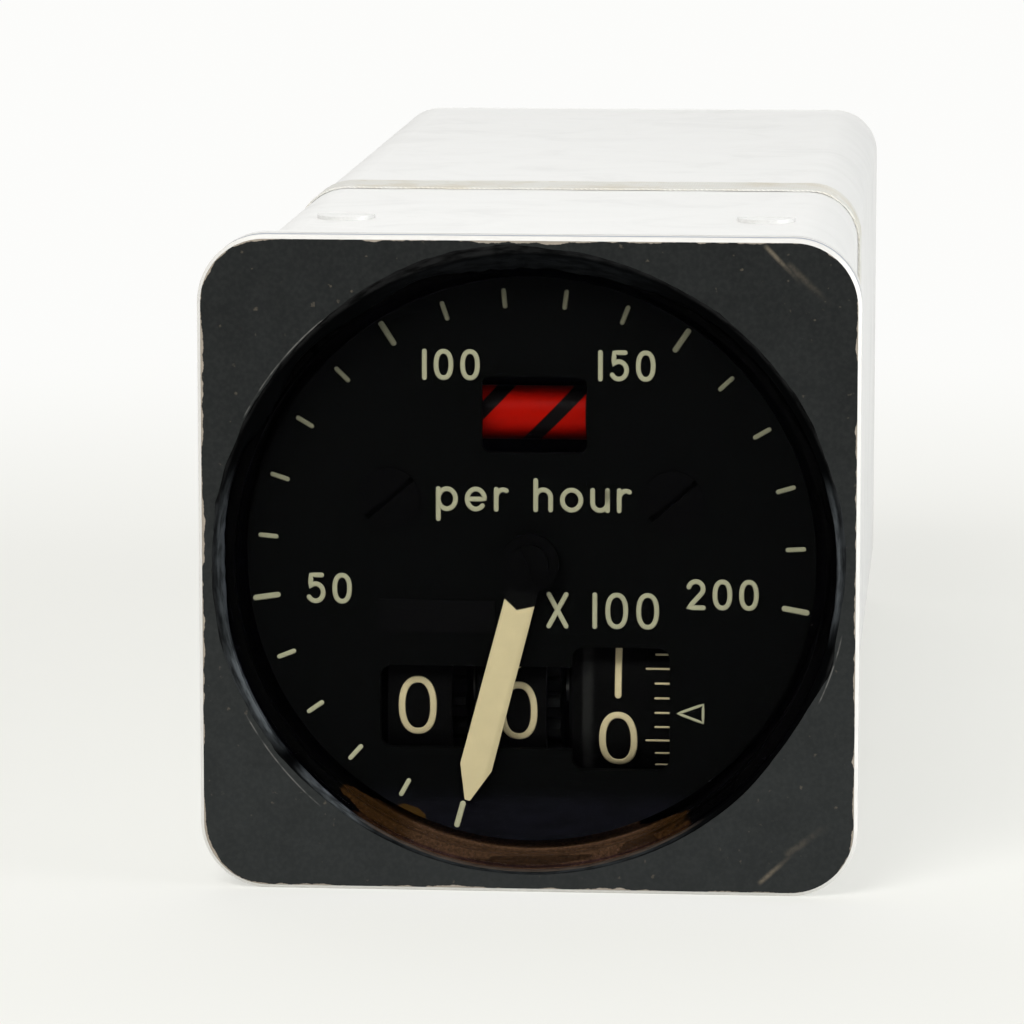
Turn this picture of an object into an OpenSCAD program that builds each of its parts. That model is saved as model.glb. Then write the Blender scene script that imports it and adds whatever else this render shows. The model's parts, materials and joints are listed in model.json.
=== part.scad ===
// Square panel gauge for fuel flow: a servo driven pointer over a round dial,
// a three drum totaliser and a warning flag, in a sealed two piece case.
// Millimetres. X to the right, Y from the dial into the case, Z up.
// The origin is on the instrument's axis, in the plane that seats on the panel.

/* [Bezel] */
// How far the bezel stands out from the case, all round
bezel_lip = 1.775; // [1.5:0.025:2.4]
// Corner radius of the bezel
bezel_r = 6.2; // [5:0.1:8]
// Thickness of the bezel plate
bezel_t = 2.7; // [2.4:0.1:4]
// Chamfer round the bezel's front edge
bezel_chamfer = 0.35; // [0.2:0.05:0.6]
// Width of the bezel where its aperture comes nearest to its edge
bezel_rim = 2.05; // [1.8:0.05:2.4]
// Width of the ledge that the glass rests on
ledge_w = 1.0; // [0.8:0.1:1.4]
// Thickness of the gasket behind the bezel
gasket_t = 0.4; // [0.3:0.1:1]
// Length of each small screw that holds the bezel
bezel_screw_l = 3.9; // [3.2:0.1:4.1]

/* [Glass] */
// Thickness of the cover glass
glass_t = 1.2; // [1:0.1:1.6]
// How far the glass lies below the bezel's face
glass_setback = 0.4; // [0.3:0.05:0.6]
// Gap between the glass and the bezel round its edge
glass_edge_gap = 0.15; // [0.1:0.05:0.3]

/* [Case] */
// Width and height of the square case
case_w = 57.15; // [56.9:0.05:57.6]
// Corner radius of the case
case_r = 5; // [4.6:0.1:6]
// Wall thickness of the case
case_wall = 0.9; // [0.8:0.05:1]
// Thickness of the case's front flange
flange_t = 1.5; // [1.2:0.1:2.5]
// Depth of the front half of the case, behind the panel
case_front_l = 64; // [62:1:90]
// Depth of the whole case, behind the panel
case_l = 165; // [160:1:200]
// Width of the sealing band over the joint of the case
band_w = 8; // [6:0.5:12]
// Thickness of the sealing band
band_t = 0.25; // [0.1:0.05:0.4]
// Thickness of the rear plate
rear_plate_t = 1.5; // [1.2:0.1:3]

/* [Dial] */
// Gap between the dial's edge and the ring round it
dial_edge_gap = 0.9; // [0.6:0.1:1.5]
// Thickness of the dial
dial_t = 1; // [0.8:0.1:1.2]
// Clock angle of the zero mark, clockwise from the top
zero_angle = 195.4; // [190:0.1:200]
// Angle from the zero mark to the full scale mark
scale_span = 264.7; // [250:0.1:270]
// Number of divisions on the scale
scale_divisions = 20; // [10:1:40]
// Distance of the minor marks' middle from the dial's edge
scale_inset = 1.8; // [1.4:0.1:2.8]
// Length of a minor mark
minor_mark_l = 1.85; // [1.4:0.05:2]
// Length of a major mark
major_mark_l = 2.6; // [2.2:0.1:2.7]
// Width of each mark
mark_w = 0.5; // [0.4:0.05:0.8]
// Depth to which the marks are engraved
mark_depth = 0.08; // [0.05:0.01:0.2]
// Distance of each dial screw from the centre line
dial_screw_x = 13.1; // [12.5:0.1:14]
// Height of the dial screws above the centre
dial_screw_z = 5.7; // [5:0.1:6.5]
// Radius of a dial screw's head
dial_screw_head_r = 2.8; // [2.4:0.1:3]
// Width of the blank plate on the dial
name_plate_w = 10.8; // [8:0.1:12]
// Height of the blank plate on the dial
name_plate_h = 3.1; // [2.5:0.1:3.4]

/* [Pointer] */
// Length of the pointer from the centre to the tip
pointer_l = 23.1; // [21:0.1:24]
// Distance from the centre to the pointer's shoulders
pointer_shoulder = 19.9; // [17:0.1:20.5]
// Width of the pointer at the hub
pointer_root_w = 2.8; // [2.5:0.05:3.4]
// Width of the pointer at its shoulders
pointer_shoulder_w = 3; // [2.5:0.05:3.8]
// Thickness of the pointer
pointer_t = 0.5; // [0.4:0.05:0.7]
// Angle of the resting pointer before the zero mark
pointer_rest = 0.8; // [0:0.1:2]
// Radius of the pointer's hub
hub_r = 2.7; // [2.5:0.1:3]
// Radius of the slotted screw on the hub
hub_screw_r = 1.75; // [1.4:0.05:2]
// Radius of the pointer's shaft
pointer_shaft_r = 1; // [0.9:0.05:1.1]

/* [Counter] */
// Distance of the drums' top below the centre
drum_top = 2.9; // [2.6:0.1:3.2]
// Gap between the drums and the floor of their frame
drum_floor_gap = 0.825; // [0.5:0.025:1]
// Left end of the hundreds drum
hundreds_x = -13.4; // [-13.5:0.1:-13.2]
// Width of the hundreds drum
hundreds_w = 5.9; // [5.5:0.1:6]
// Width of the tens drum
tens_w = 6.4; // [6:0.1:6.5]
// Width of the units drum
units_w = 9.2; // [9:0.1:9.3]
// Gap between two drums, which holds a transfer pinion
drum_spacing = 2.4; // [2.3:0.1:2.5]
// Radius of the counter's shaft
counter_shaft_r = 1.5; // [1.3:0.05:1.6]
// Teeth of the transfer gear on a drum
transfer_gear_teeth = 20; // [20:1:20]
// Teeth of a transfer pinion
transfer_pinion_teeth = 8; // [8:1:8]
// Gap between the transfer gears and the drums' rims
transfer_rim_gap = 0.37; // [0.3:0.01:0.6]
// Angle of the transfer shaft below the horizontal
transfer_angle = 35; // [33:1:36]
// Teeth of the gear that drives the counter
counter_gear_teeth = 32; // [30:1:32]
// Teeth of the counter's idler
counter_idler_teeth = 20; // [20:1:22]
// Teeth of the counter motor's gear
counter_motor_teeth = 24; // [22:1:24]
// Tooth module of the counter's drive
counter_module = 0.5; // [0.48:0.01:0.5]
// Radius of the counter motor
counter_motor_r = 8.5; // [7.5:0.1:8.7]
// Length of the counter motor
counter_motor_l = 23; // [18:0.5:26]

/* [Flag] */
// Radius of the flag drum
flag_r = 2.5; // [2.3:0.1:2.6]
// Length of the flag drum
flag_l = 10.8; // [10.6:0.1:11.4]
// Sideways place of the flag's middle
flag_x = 0.3; // [0:0.1:0.6]
// Height of the flag's axis
flag_z = 13.3; // [13:0.1:13.6]
// Width of the flag's window
flag_window_w = 9.7; // [9.4:0.1:10.2]
// Height of the flag's window
flag_window_h = 7.1; // [6.8:0.1:7.6]
// Radius of the flag's coil
flag_coil_r = 4.8; // [4:0.1:5.2]
// Length of the flag's coil
flag_coil_l = 10; // [8:0.5:14]

/* [Pointer drive] */
// Teeth of the gear on the pointer's shaft
pointer_gear_teeth = 64; // [60:1:64]
// Teeth of each small pinion
pinion_teeth = 16; // [16:1:18]
// Teeth of the intermediate wheel
wheel_teeth = 48; // [46:1:50]
// Tooth module of the pointer's drive
drive_module = 0.4; // [0.39:0.01:0.41]
// Face width of the drive gears
drive_face = 2; // [1.6:0.1:2.2]
// Sideways place of the servo motor
servo_x = -17.6; // [-17.8:0.1:-17.4]
// Height of the servo motor's axis
servo_z = 9; // [8.8:0.1:10]
// Radius of the servo motor and of the position sensor
motor_r = 9.525; // [9.2:0.025:9.6]
// Length of the servo motor and of the position sensor
motor_l = 31.5; // [28:0.5:40]

/* [Chassis] */
// Thickness of the three frame plates
frame_t = 2; // [1.8:0.1:2.2]
// Length of the bay that holds the counter
counter_bay = 37.7; // [37:0.1:42]
// Length of the bay that holds the drive gears
gear_bay = 8; // [7.6:0.1:10]
// Sideways distance of the pillars' axes from the case's side
pillar_inset = 8.225; // [7.6:0.025:8.5]
// Radius of the pillars
pillar_r = 3.4; // [3.2:0.05:3.5]
// Distance of the chassis screws behind the panel
chassis_screw_y = 30; // [20:1:38]
// Radius of a chassis screw's head
chassis_head_r = 2.8; // [2.4:0.1:3]
// Thickness of the circuit cards
card_t = 1.6; // [1:0.1:2]
// Free length between the motors and the first card
card_clearance = 8.5; // [4:0.5:12]
// Free length between the two cards
card_bay = 24.4; // [22:0.1:30]

/* [Connector] */
// Outer radius of the connector's barrel
connector_r = 10; // [9.8:0.1:10.4]
// Length of the connector's barrel behind its flange
connector_l = 11; // [10:0.5:14]
// Width of the connector's square flange
connector_flange_w = 26; // [25.5:0.1:28]
// Thickness of the connector's flange
connector_flange_t = 2; // [1.6:0.1:3]
// Depth of the socket in front of the insert
socket_depth = 7.5; // [7:0.1:8]
// Number of pins on the outer circle
outer_pins = 10; // [8:1:12]

/* [Hidden] */
$fn = 64;

// Clearances
running = 0.05;
slack = 0.3;
seat = 0.05;
fine = 0.01;
// How far a cut runs past the face that it opens, and how far joined shapes run into each other
cut = 1;
bite = 0.4;

// Screws: a small size for the chassis and the bezel, a larger one for the dial and the case
small_r = 1;
small_head_r = 1.9;
small_head_h = 1.2;
chassis_head_h = 0.35;
large_r = 1.5;
slot_w = 0.5;
bezel_screw_inset = 4.9;
bezel_screw_place = case_w / 2 - case_wall - bezel_screw_inset;
frame_screw_reach = 4;
rear_screw_l = 6;

// Front of the instrument, from the bezel's face to the glass
bezel_w = case_w + 2 * bezel_lip;
aperture_r = bezel_w / 2 - bezel_rim;
face_y = -(bezel_t + gasket_t + flange_t);
bezel_rear_y = -(gasket_t + flange_t);
glass_y = face_y + glass_setback;
ledge_y = glass_y + glass_t;
glass_r = aperture_r - glass_edge_gap;
ledge_r = aperture_r - ledge_w;
sealant_lap = 0.9;
sealant_proud = 0.2;
gasket_inset = 0.3;

// Pointer, hub and dial, from the glass inwards
hub_glass_gap = 0.4;
hub_screw_y = ledge_y + hub_glass_gap;
hub_screw_h = 0.5;
hub_y = hub_screw_y + hub_screw_h;
hub_face_t = 0.4;
pointer_y = hub_y + hub_face_t;
pointer_gap = 0.6;
dial_y = pointer_y + pointer_t + pointer_gap;
dial_rear_y = dial_y + dial_t;
hub_sleeve_wall = 0.6;
hub_sleeve_r = pointer_shaft_r + hub_sleeve_wall;
hub_tail = 1;
hub_thread_r = 0.5;
hub_screw_l = 3;
hub_screw_turn = 70;
pointer_tip_w = 0.5;
dial_hole_gap = 0.8;
dial_hole_r = hub_sleeve_r + dial_hole_gap;
countersink_t = 0.8;
dial_screw_rim = 0.12;
dial_screw_turn = -40;
dial_screw_reach = 3;
dial_post_hole_l = 4.5;
name_plate_place = [-8.7, -5.3];
name_plate_t = 0.15;

// Flag drum, and the frame plates behind it
flag_dial_gap = 0.5;
flag_frame_gap = 0.4;
flag_y = dial_rear_y + flag_dial_gap + flag_r;
front_y = flag_y + flag_r + flag_frame_gap;
middle_y = front_y + frame_t + counter_bay;
rear_y = middle_y + frame_t + gear_bay;
rear_face_y = rear_y + frame_t;
frame_play = 0.45;
frame_w = case_w - 2 * case_wall - frame_play;
frame_r = case_r - case_wall;
pillar_x = case_w / 2 - pillar_inset;
pillar_z = case_w / 2 - case_wall - pillar_r - seat;
bush_wall = 0.9;
bush_flange_t = 0.4;
bush_flange_lap = 0.7;
bush_rim_t = 0.3;
bush_flange_r = pointer_shaft_r + bush_wall + bush_flange_lap;
spacer_wall = 1;
stud_l = 4;
rod_thread_l = 5;

// Flag: its ears with their screw tabs, and its coil's core
flag_ear_t = 0.8;
flag_ear_gap = 0.2;
flag_ear_x = flag_l / 2 + flag_ear_gap;
flag_ear_reach = 1.6;
flag_ear_h = 4.2;
flag_tab_l = 4.4;
flag_pivot_r = 0.6;
flag_pivot_l = 0.6;
flag_window_r = 0.8;
flag_window_raise = 0.25;
core_r = 1.5;
core_proud = 1;
coil_cheek_t = 0.8;
coil_recess = 0.6;

// Spacer ring between the bezel and the front frame
ring_step = 0.1;
ring_r = ledge_r - ring_step;
ring_t = 0.4;
dial_r = ring_r - dial_edge_gap;
scale_r = dial_r - scale_inset;
ring_hole_r = ring_r + ring_t + seat;

// Counter: axis, drums, transfer pinions and drive, with places in the Y and Z plane
cheek_t = 1;
channel_gap = 1.15;
channel_floor_z = -(case_w / 2 - case_wall - channel_gap);
drum_bottom_z = channel_floor_z + cheek_t + drum_floor_gap;
drum_r = (-drum_bottom_z - drum_top) / 2;
counter_z = drum_bottom_z + drum_r;
drum_dial_gap = 0.4;
counter_y = dial_rear_y + drum_dial_gap + drum_r;
tens_x = hundreds_x + hundreds_w + drum_spacing;
units_x = tens_x + tens_w + drum_spacing;
units_end_x = units_x + units_w;
drum_wall = 1.2;
drum_web_t = 1.2;
drum_hub_wall = 1.5;
transfer_face = 1.2;
drum_boss_l = 0.5;
boss_gap = 0.1;
cheek_gap = 0.5;
drive_gap = 0.5;
shaft_proud = 0.2;
left_cheek_x = hundreds_x - drum_boss_l - boss_gap - cheek_t;
right_cheek_x = units_end_x + cheek_gap;
drive_x = right_cheek_x + cheek_t + drive_gap;
drive_face_x = 1.2;
transfer_addendum = 0.72;
transfer_module = (drum_r - drum_wall - transfer_rim_gap) / (transfer_gear_teeth / 2 + transfer_addendum);
transfer_distance = transfer_module * (transfer_gear_teeth + transfer_pinion_teeth) / 2;
transfer_y = counter_y + transfer_distance * cos(transfer_angle);
transfer_z = counter_z - transfer_distance * sin(transfer_angle);
transfer_shaft_r = 1;
plain_disc_gap = 0.4;
plain_disc_r = transfer_distance - transfer_module * (transfer_pinion_teeth / 2 + 1) - plain_disc_gap;
transfer_pinion_gap = [0.2, 0.4];
idler_angle = 20;
idler_distance = counter_module * (counter_gear_teeth + counter_idler_teeth) / 2;
idler_y = counter_y + idler_distance * cos(idler_angle);
idler_z = counter_z + idler_distance * sin(idler_angle);
counter_motor_angle = -14;
counter_motor_distance = counter_module * (counter_idler_teeth + counter_motor_teeth) / 2;
counter_motor_y = idler_y + counter_motor_distance * cos(counter_motor_angle);
counter_motor_z = idler_z + counter_motor_distance * sin(counter_motor_angle);
counter_motor_shaft_r = 0.75;
counter_motor_bore_l = 6;
motor_boss_r = 3;
counter_drive_r = counter_module * (counter_gear_teeth / 2 + 1);
cheek_top_z = counter_motor_z + counter_motor_r + cheek_gap;
tab_l = 4;
tab_x = [left_cheek_x - tab_l / 2, right_cheek_x + cheek_t + tab_l / 2];
tab_top_z = -6;
tab_pillar_gap = 0.6;
tab_bottom_z = -(pillar_z - pillar_r - tab_pillar_gap);
tab_screw_z = [-9, -17];
counter_window_inset = 0.5;
counter_window_lap = 0.05;
counter_window_step = 0.1;
counter_window_x = [hundreds_x + counter_window_inset, units_end_x - counter_window_lap];
counter_window_step_x = units_x + counter_window_step;
counter_window_h = 7.75;
units_window_h = 11.5;
counter_window_r = 1.1;
transfer_turn = mesh_angle(transfer_gear_teeth, 0, transfer_pinion_teeth, -transfer_angle);
idler_turn = mesh_angle(counter_gear_teeth, 0, counter_idler_teeth, idler_angle);
counter_motor_turn = mesh_angle(counter_idler_teeth, idler_turn, counter_motor_teeth, counter_motor_angle);

// Gear teeth: heights and depths in modules, and the width taken off each tooth for backlash
tooth_height = 0.9;
tooth_depth = 1.2;
transfer_depth = 1.1;
pressure_angle = 20;
drive_backlash = 0.06;
counter_backlash = 0.07;
transfer_backlash = 0.12;

// Pointer drive: the intermediate arbor meshes both with the pointer's gear and the servo's pinion
arbor_distance = drive_module * (pointer_gear_teeth + pinion_teeth) / 2;
servo_gear_distance = drive_module * (wheel_teeth + pinion_teeth) / 2;
servo_distance = norm([servo_x, servo_z]);
servo_angle = atan2(servo_z, servo_x);
arbor_along = (pow(arbor_distance, 2) - pow(servo_gear_distance, 2) + pow(servo_distance, 2))
    / (2 * servo_distance);
arbor_angle = servo_angle - acos(arbor_along / arbor_distance);
arbor_x = arbor_distance * cos(arbor_angle);
arbor_z = arbor_distance * sin(arbor_angle);
arbor_r = 0.8;
arbor_servo_angle = atan2(servo_z - arbor_z, servo_x - arbor_x);
arbor_turn = mesh_angle(pointer_gear_teeth, 0, pinion_teeth, arbor_angle);
servo_turn = mesh_angle(wheel_teeth, arbor_turn, pinion_teeth, arbor_servo_angle);
first_gear_gap = 1.1;
second_gear_gap = 1.2;
pinion_extra = 0.25;
first_gear_y = middle_y + frame_t + first_gear_gap;
second_gear_y = first_gear_y + drive_face + second_gear_gap;
motor_pilot_r = 4;
motor_flange_t = 1;
motor_groove_w = 1.4;
motor_groove_depth = 0.925;
motor_groove_r = motor_r - motor_groove_depth;
cleat_r = 2.7;
cleat_t = 2.2;
cleat_edge_gap = 0.2;
cleat_radius = motor_r + small_head_r + cleat_edge_gap;
cleat_angles = [63, 243];
motor_places = [[0, 0], [servo_x, servo_z]];
motor_shaft_l = 6;
motor_shaft_end_y = rear_face_y + motor_shaft_l;

// Circuit cards on the tie rods
first_card_y = rear_face_y + motor_l + card_clearance;
second_card_y = first_card_y + card_t + card_bay;
card_margin = 1;
card_w = frame_w - 2 * card_margin;
rod_head_r = 2.9;
rod_head_t = 2.4;
transistor = [4.2, 5.5];
transistor_pitch = [12, 14];
capacitor = [5, 16];
capacitor_place = [14, 12];
transformer_size = [16, 20, 22];
transformer_x = -13;
winding_proud = 3;
winding_inset = 4;
wire_r = 0.55;
loom_x = 2;

// Back of the instrument
rear_inside_y = case_l - rear_plate_t;
lug_bite = 0.1;
lug_r = case_r - case_wall + lug_bite;
lug_place = case_w / 2 - case_r;
lug_l = 10;
lug_hole_l = 8;
connector_y = case_l + connector_flange_t;
connector_end_y = connector_y + connector_l;
connector_wall = 1.4;
insert_r = connector_r - connector_wall;
insert_y = connector_end_y - socket_depth;
insert_tail = 4;
insert_rear_y = case_l - insert_tail;
outer_pin_circle = 6.2;
inner_pin_circle = 2.8;
flange_corner_r = 2;
pin_r = 0.6;
pin_l = 2.5;
flange_screw_inset = 2.9;
flange_screw_place = connector_flange_w / 2 - flange_screw_inset;

// Runs a length along Y with its flat shape upright in X and Z
module slab_y(y, t) {
    translate([0, y + t, 0]) rotate([90, 0, 0]) linear_extrude(height = t) children();
}

// Runs a length along X with its flat shape upright in Y and Z
module slab_x(x, t) {
    translate([x, 0, 0]) rotate([90, 0, 90]) linear_extrude(height = t) children();
}

module rod_y(x, z, y, l, r) {
    translate([x, y, z]) rotate([-90, 0, 0]) cylinder(h = l, r = r);
}

module rod_x(x, y, z, l, r) {
    translate([x, y, z]) rotate([0, 90, 0]) cylinder(h = l, r = r);
}

module rounded(w, h, r) {
    square([w - 2 * r, h], center = true);
    square([w, h - 2 * r], center = true);
    for (sx = [-1, 1], sz = [-1, 1])
        translate([sx * (w / 2 - r), sz * (h / 2 - r)]) circle(r = r);
}

module at_pillars() {
    for (sx = [-1, 1], sz = [-1, 1])
        translate([sx * pillar_x, 0, sz * pillar_z]) children();
}

// Slotted screw along Y: the head lies in front of the seat and the shank behind it
module screw_y(r, head_r, head_h, l) {
    difference() {
        translate([0, -head_h, 0]) rotate([-90, 0, 0]) cylinder(h = head_h, r = head_r);
        translate([-head_r, -head_h - fine, -slot_w / 2]) cube([2 * head_r, head_h / 2, slot_w]);
    }
    rotate([-90, 0, 0]) cylinder(h = l, r = r);
}

// Involute teeth. Thin is taken off each tooth's width, for backlash
function involute(a) = tan(a) * 180 / PI - a;
function tooth_half(r, rp, rb, n, pa, thin) =
    90 / n - thin / (2 * rp) * 180 / PI + involute(pa) - (r > rb ? involute(acos(rb / r)) : 0);
function gear_radii(rr, rb, rt) =
    rb > rr ? [rr, rb, (rb + rt) / 2, rt] : [rr, (rr + rt) / 2, rt];
function gear_points(n, m, add, ded, pa, thin) =
    let (rp = m * n / 2, rb = rp * cos(pa), rt = rp + add * m, radii = gear_radii(rp - ded * m, rb, rt),
        last = len(radii) - 1)
    [for (k = [0:n - 1], side = [-1, 1], i = [0:last])
        let (r = side < 0 ? radii[i] : radii[last - i],
            a = k * 360 / n + side * tooth_half(r, rp, rb, n, pa, thin))
        [r * cos(a), r * sin(a)]];
// Start angle of a gear in mesh with one that has n1 teeth starting at a1, seen at the angle line
function mesh_angle(n1, a1, n2, line) = line + 180 + ((line - a1) * n1 / 360 - 0.5) * 360 / n2;

module drive_gear(n, turn) {
    rotate(turn) polygon(gear_points(n, drive_module, tooth_height, tooth_depth, pressure_angle,
        drive_backlash));
}

module counter_teeth(n, turn) {
    rotate(turn) polygon(gear_points(n, counter_module, tooth_height, tooth_depth, pressure_angle,
        counter_backlash));
}

module transfer_teeth(n, turn) {
    rotate(turn) polygon(gear_points(n, transfer_module, transfer_addendum, transfer_depth, pressure_angle,
        transfer_backlash));
}

// A plate whose front edge is chamfered all round
module chamfered_plate(w, r, t, c) {
    straight = w - 2 * r;
    edge = [[-w / 2, 0], [w / 2, 0], [w / 2, t - c], [w / 2 - c, t], [-w / 2 + c, t], [-w / 2, t - c]];
    for (turn = [0, 90])
        rotate([0, 0, turn]) translate([-straight / 2, 0, 0]) rotate([90, 0, 90])
            linear_extrude(height = straight) polygon(edge);
    for (sx = [-1, 1], sy = [-1, 1])
        translate([sx * straight / 2, sy * straight / 2, 0]) {
            cylinder(h = t - c, r = r);
            translate([0, 0, t - c]) cylinder(h = c, r1 = r, r2 = r - c);
        }
}

module at_bezel_screws() {
    for (sx = [-1, 1], sz = [-1, 1])
        translate([sx * bezel_screw_place, 0, sz * bezel_screw_place]) children();
}

module bezel() {
    color([0.17, 0.18, 0.18])
    difference() {
        translate([0, bezel_rear_y, 0]) rotate([90, 0, 0])
            chamfered_plate(bezel_w, bezel_r, bezel_t, bezel_chamfer);
        rod_y(0, 0, face_y - cut, ledge_y - face_y + cut, aperture_r);
        rod_y(0, 0, ledge_y - cut, bezel_t + 2 * cut, ledge_r);
        at_bezel_screws() rod_y(0, 0, -bezel_screw_l, bezel_screw_l, small_r);
    }
}

module bezel_gasket() {
    w = bezel_w - 2 * gasket_inset;
    color([0.08, 0.08, 0.08])
    slab_y(bezel_rear_y, gasket_t) difference() {
        rounded(w, w, bezel_r - gasket_inset);
        circle(r = ring_hole_r);
        for (sx = [-1, 1], sz = [-1, 1])
            translate([sx * bezel_screw_place, sz * bezel_screw_place]) circle(r = small_r + seat);
    }
}

module bezel_screws() {
    color([0.6, 0.6, 0.6])
    at_bezel_screws() rotate([0, 0, 180]) screw_y(small_r - seat, small_head_r, small_head_h, bezel_screw_l);
}

module cover_glass() {
    color([0.8, 0.9, 0.9, 0.3])
    rod_y(0, 0, glass_y, glass_t, glass_r);
}

module glass_sealant() {
    color([0.03, 0.03, 0.03])
    translate([0, glass_y, 0]) rotate([90, 0, 0]) rotate_extrude()
        polygon([[glass_r - sealant_lap, 0], [aperture_r, 0], [aperture_r, glass_setback],
            [glass_r - sealant_lap / 2, sealant_proud]]);
}

module spacer_ring() {
    color([0.06, 0.05, 0.05])
    slab_y(bezel_rear_y, front_y - bezel_rear_y) difference() {
        circle(r = ring_r + ring_t);
        circle(r = ring_r);
    }
}

module case_tube(y, l) {
    slab_y(y, l) difference() {
        rounded(case_w, case_w, case_r);
        rounded(case_w - 2 * case_wall, case_w - 2 * case_wall, case_r - case_wall);
    }
}

module case_front() {
    color([0.86, 0.86, 0.84])
    difference() {
        union() {
            slab_y(-flange_t, flange_t) difference() {
                rounded(bezel_w, bezel_w, bezel_r);
                circle(r = ring_hole_r);
            }
            case_tube(0, case_front_l);
        }
        at_bezel_screws() rod_y(0, 0, -flange_t - cut, flange_t + 2 * cut, small_r + seat);
        at_chassis_screws() cylinder(h = 4 * case_wall, r = large_r, center = true);
    }
}

// The chassis screws enter from above and below, so their own Z points outwards
module at_chassis_screws() {
    for (sx = [-1, 1], turn = [0, 180])
        rotate([0, turn, 0]) translate([sx * pillar_x, chassis_screw_y, case_w / 2]) children();
}

module chassis_screws() {
    color([0.8, 0.8, 0.78])
    at_chassis_screws() {
        difference() {
            cylinder(h = chassis_head_h, r = chassis_head_r);
            translate([-chassis_head_r, -slot_w / 2, chassis_head_h / 2])
                cube([2 * chassis_head_r, slot_w, chassis_head_h]);
        }
        translate([0, 0, -case_wall - pillar_r]) cylinder(h = case_wall + pillar_r, r = large_r - seat);
    }
}

module joint_band() {
    color([0.72, 0.66, 0.52])
    slab_y(case_front_l - band_w / 2, band_w) difference() {
        rounded(case_w + 2 * band_t, case_w + 2 * band_t, case_r + band_t);
        rounded(case_w, case_w, case_r);
    }
}

module at_lugs() {
    for (sx = [-1, 1], sz = [-1, 1])
        translate([sx * lug_place, 0, sz * lug_place]) children();
}

module case_rear() {
    color([0.86, 0.86, 0.84])
    difference() {
        union() {
            case_tube(case_front_l, rear_inside_y - case_front_l);
            at_lugs() rod_y(0, 0, rear_inside_y - lug_l, lug_l, lug_r);
        }
        at_lugs() rod_y(0, 0, rear_inside_y - lug_hole_l, lug_hole_l + cut, small_r);
    }
}

module at_flange_screws() {
    for (sx = [-1, 1], sz = [-1, 1])
        translate([sx * flange_screw_place, 0, sz * flange_screw_place]) children();
}

module rear_plate() {
    color([0.84, 0.84, 0.82])
    difference() {
        slab_y(rear_inside_y, rear_plate_t) rounded(case_w, case_w, case_r);
        rod_y(0, 0, rear_inside_y - cut, rear_plate_t + 2 * cut, insert_r + seat);
        at_lugs() rod_y(0, 0, rear_inside_y - cut, rear_plate_t + 2 * cut, small_r + seat);
        at_flange_screws() rod_y(0, 0, rear_inside_y - cut, rear_plate_t + 2 * cut, small_r);
    }
}

module rear_screws() {
    color([0.7, 0.7, 0.68]) {
        at_lugs() translate([0, case_l, 0]) rotate([0, 0, 180])
            screw_y(small_r - seat, small_head_r, small_head_h, rear_screw_l);
        at_flange_screws() translate([0, connector_y, 0]) rotate([0, 0, 180])
            screw_y(small_r - seat, small_head_r, small_head_h, connector_flange_t + rear_plate_t);
    }
}

module connector_shell() {
    color([0.55, 0.56, 0.55])
    difference() {
        union() {
            slab_y(case_l, connector_flange_t)
                rounded(connector_flange_w, connector_flange_w, flange_corner_r);
            rod_y(0, 0, case_l, connector_end_y - case_l, connector_r);
        }
        rod_y(0, 0, case_l - cut, connector_end_y - case_l + 2 * cut, insert_r);
        at_flange_screws() rod_y(0, 0, case_l - cut, connector_flange_t + 2 * cut, small_r + seat);
    }
}

function pin_places() = concat(
    [for (i = [0:outer_pins - 1]) let (a = i * 360 / outer_pins) outer_pin_circle * [cos(a), sin(a)]],
    [for (i = [0:3]) let (a = 45 + i * 90) inner_pin_circle * [cos(a), sin(a)]]);

module connector_insert() {
    color([0.12, 0.13, 0.13])
    difference() {
        rod_y(0, 0, insert_rear_y, insert_y - insert_rear_y, insert_r);
        for (p = pin_places())
            rod_y(p[0], p[1], insert_rear_y - cut, insert_y - insert_rear_y + 2 * cut, pin_r);
    }
}

module connector_pins() {
    color([0.85, 0.7, 0.4])
    for (p = pin_places())
        rod_y(p[0], p[1], insert_rear_y, insert_y + pin_l - insert_rear_y, pin_r);
}

// Clock angle of a division, turned into an angle from the X axis
function mark_angle(i) = 90 - zero_angle - i * scale_span / scale_divisions;

module counter_window() {
    step = counter_window_step_x;
    translate([(counter_window_x[0] + step) / 2, counter_z])
        rounded(step - counter_window_x[0] + 2 * counter_window_r, counter_window_h, counter_window_r);
    translate([(step + counter_window_x[1]) / 2, counter_z])
        rounded(counter_window_x[1] - step, units_window_h, counter_window_r);
}

module dial_plate() {
    color([0.05, 0.05, 0.05])
    difference() {
        slab_y(dial_y, dial_t) difference() {
            circle(r = dial_r);
            circle(r = dial_hole_r);
            counter_window();
            translate([flag_x, flag_z + flag_window_raise])
                rounded(flag_window_w, flag_window_h, flag_window_r);
        }
        for (i = [0:scale_divisions])
            slab_y(dial_y - fine, mark_depth + fine) rotate(mark_angle(i))
                translate([scale_r - minor_mark_l / 2, -mark_w / 2])
                    square([i % 5 == 0 ? major_mark_l : minor_mark_l, mark_w]);
        for (sx = [-1, 1]) translate([sx * dial_screw_x, 0, dial_screw_z]) {
            rod_y(0, 0, dial_y - cut, dial_t + 2 * cut, large_r);
            translate([0, dial_y, 0]) rotate([-90, 0, 0]) countersink();
        }
    }
}

module countersink() {
    cylinder(h = countersink_t, r1 = dial_screw_head_r, r2 = dial_screw_head_r - countersink_t);
}

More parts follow.
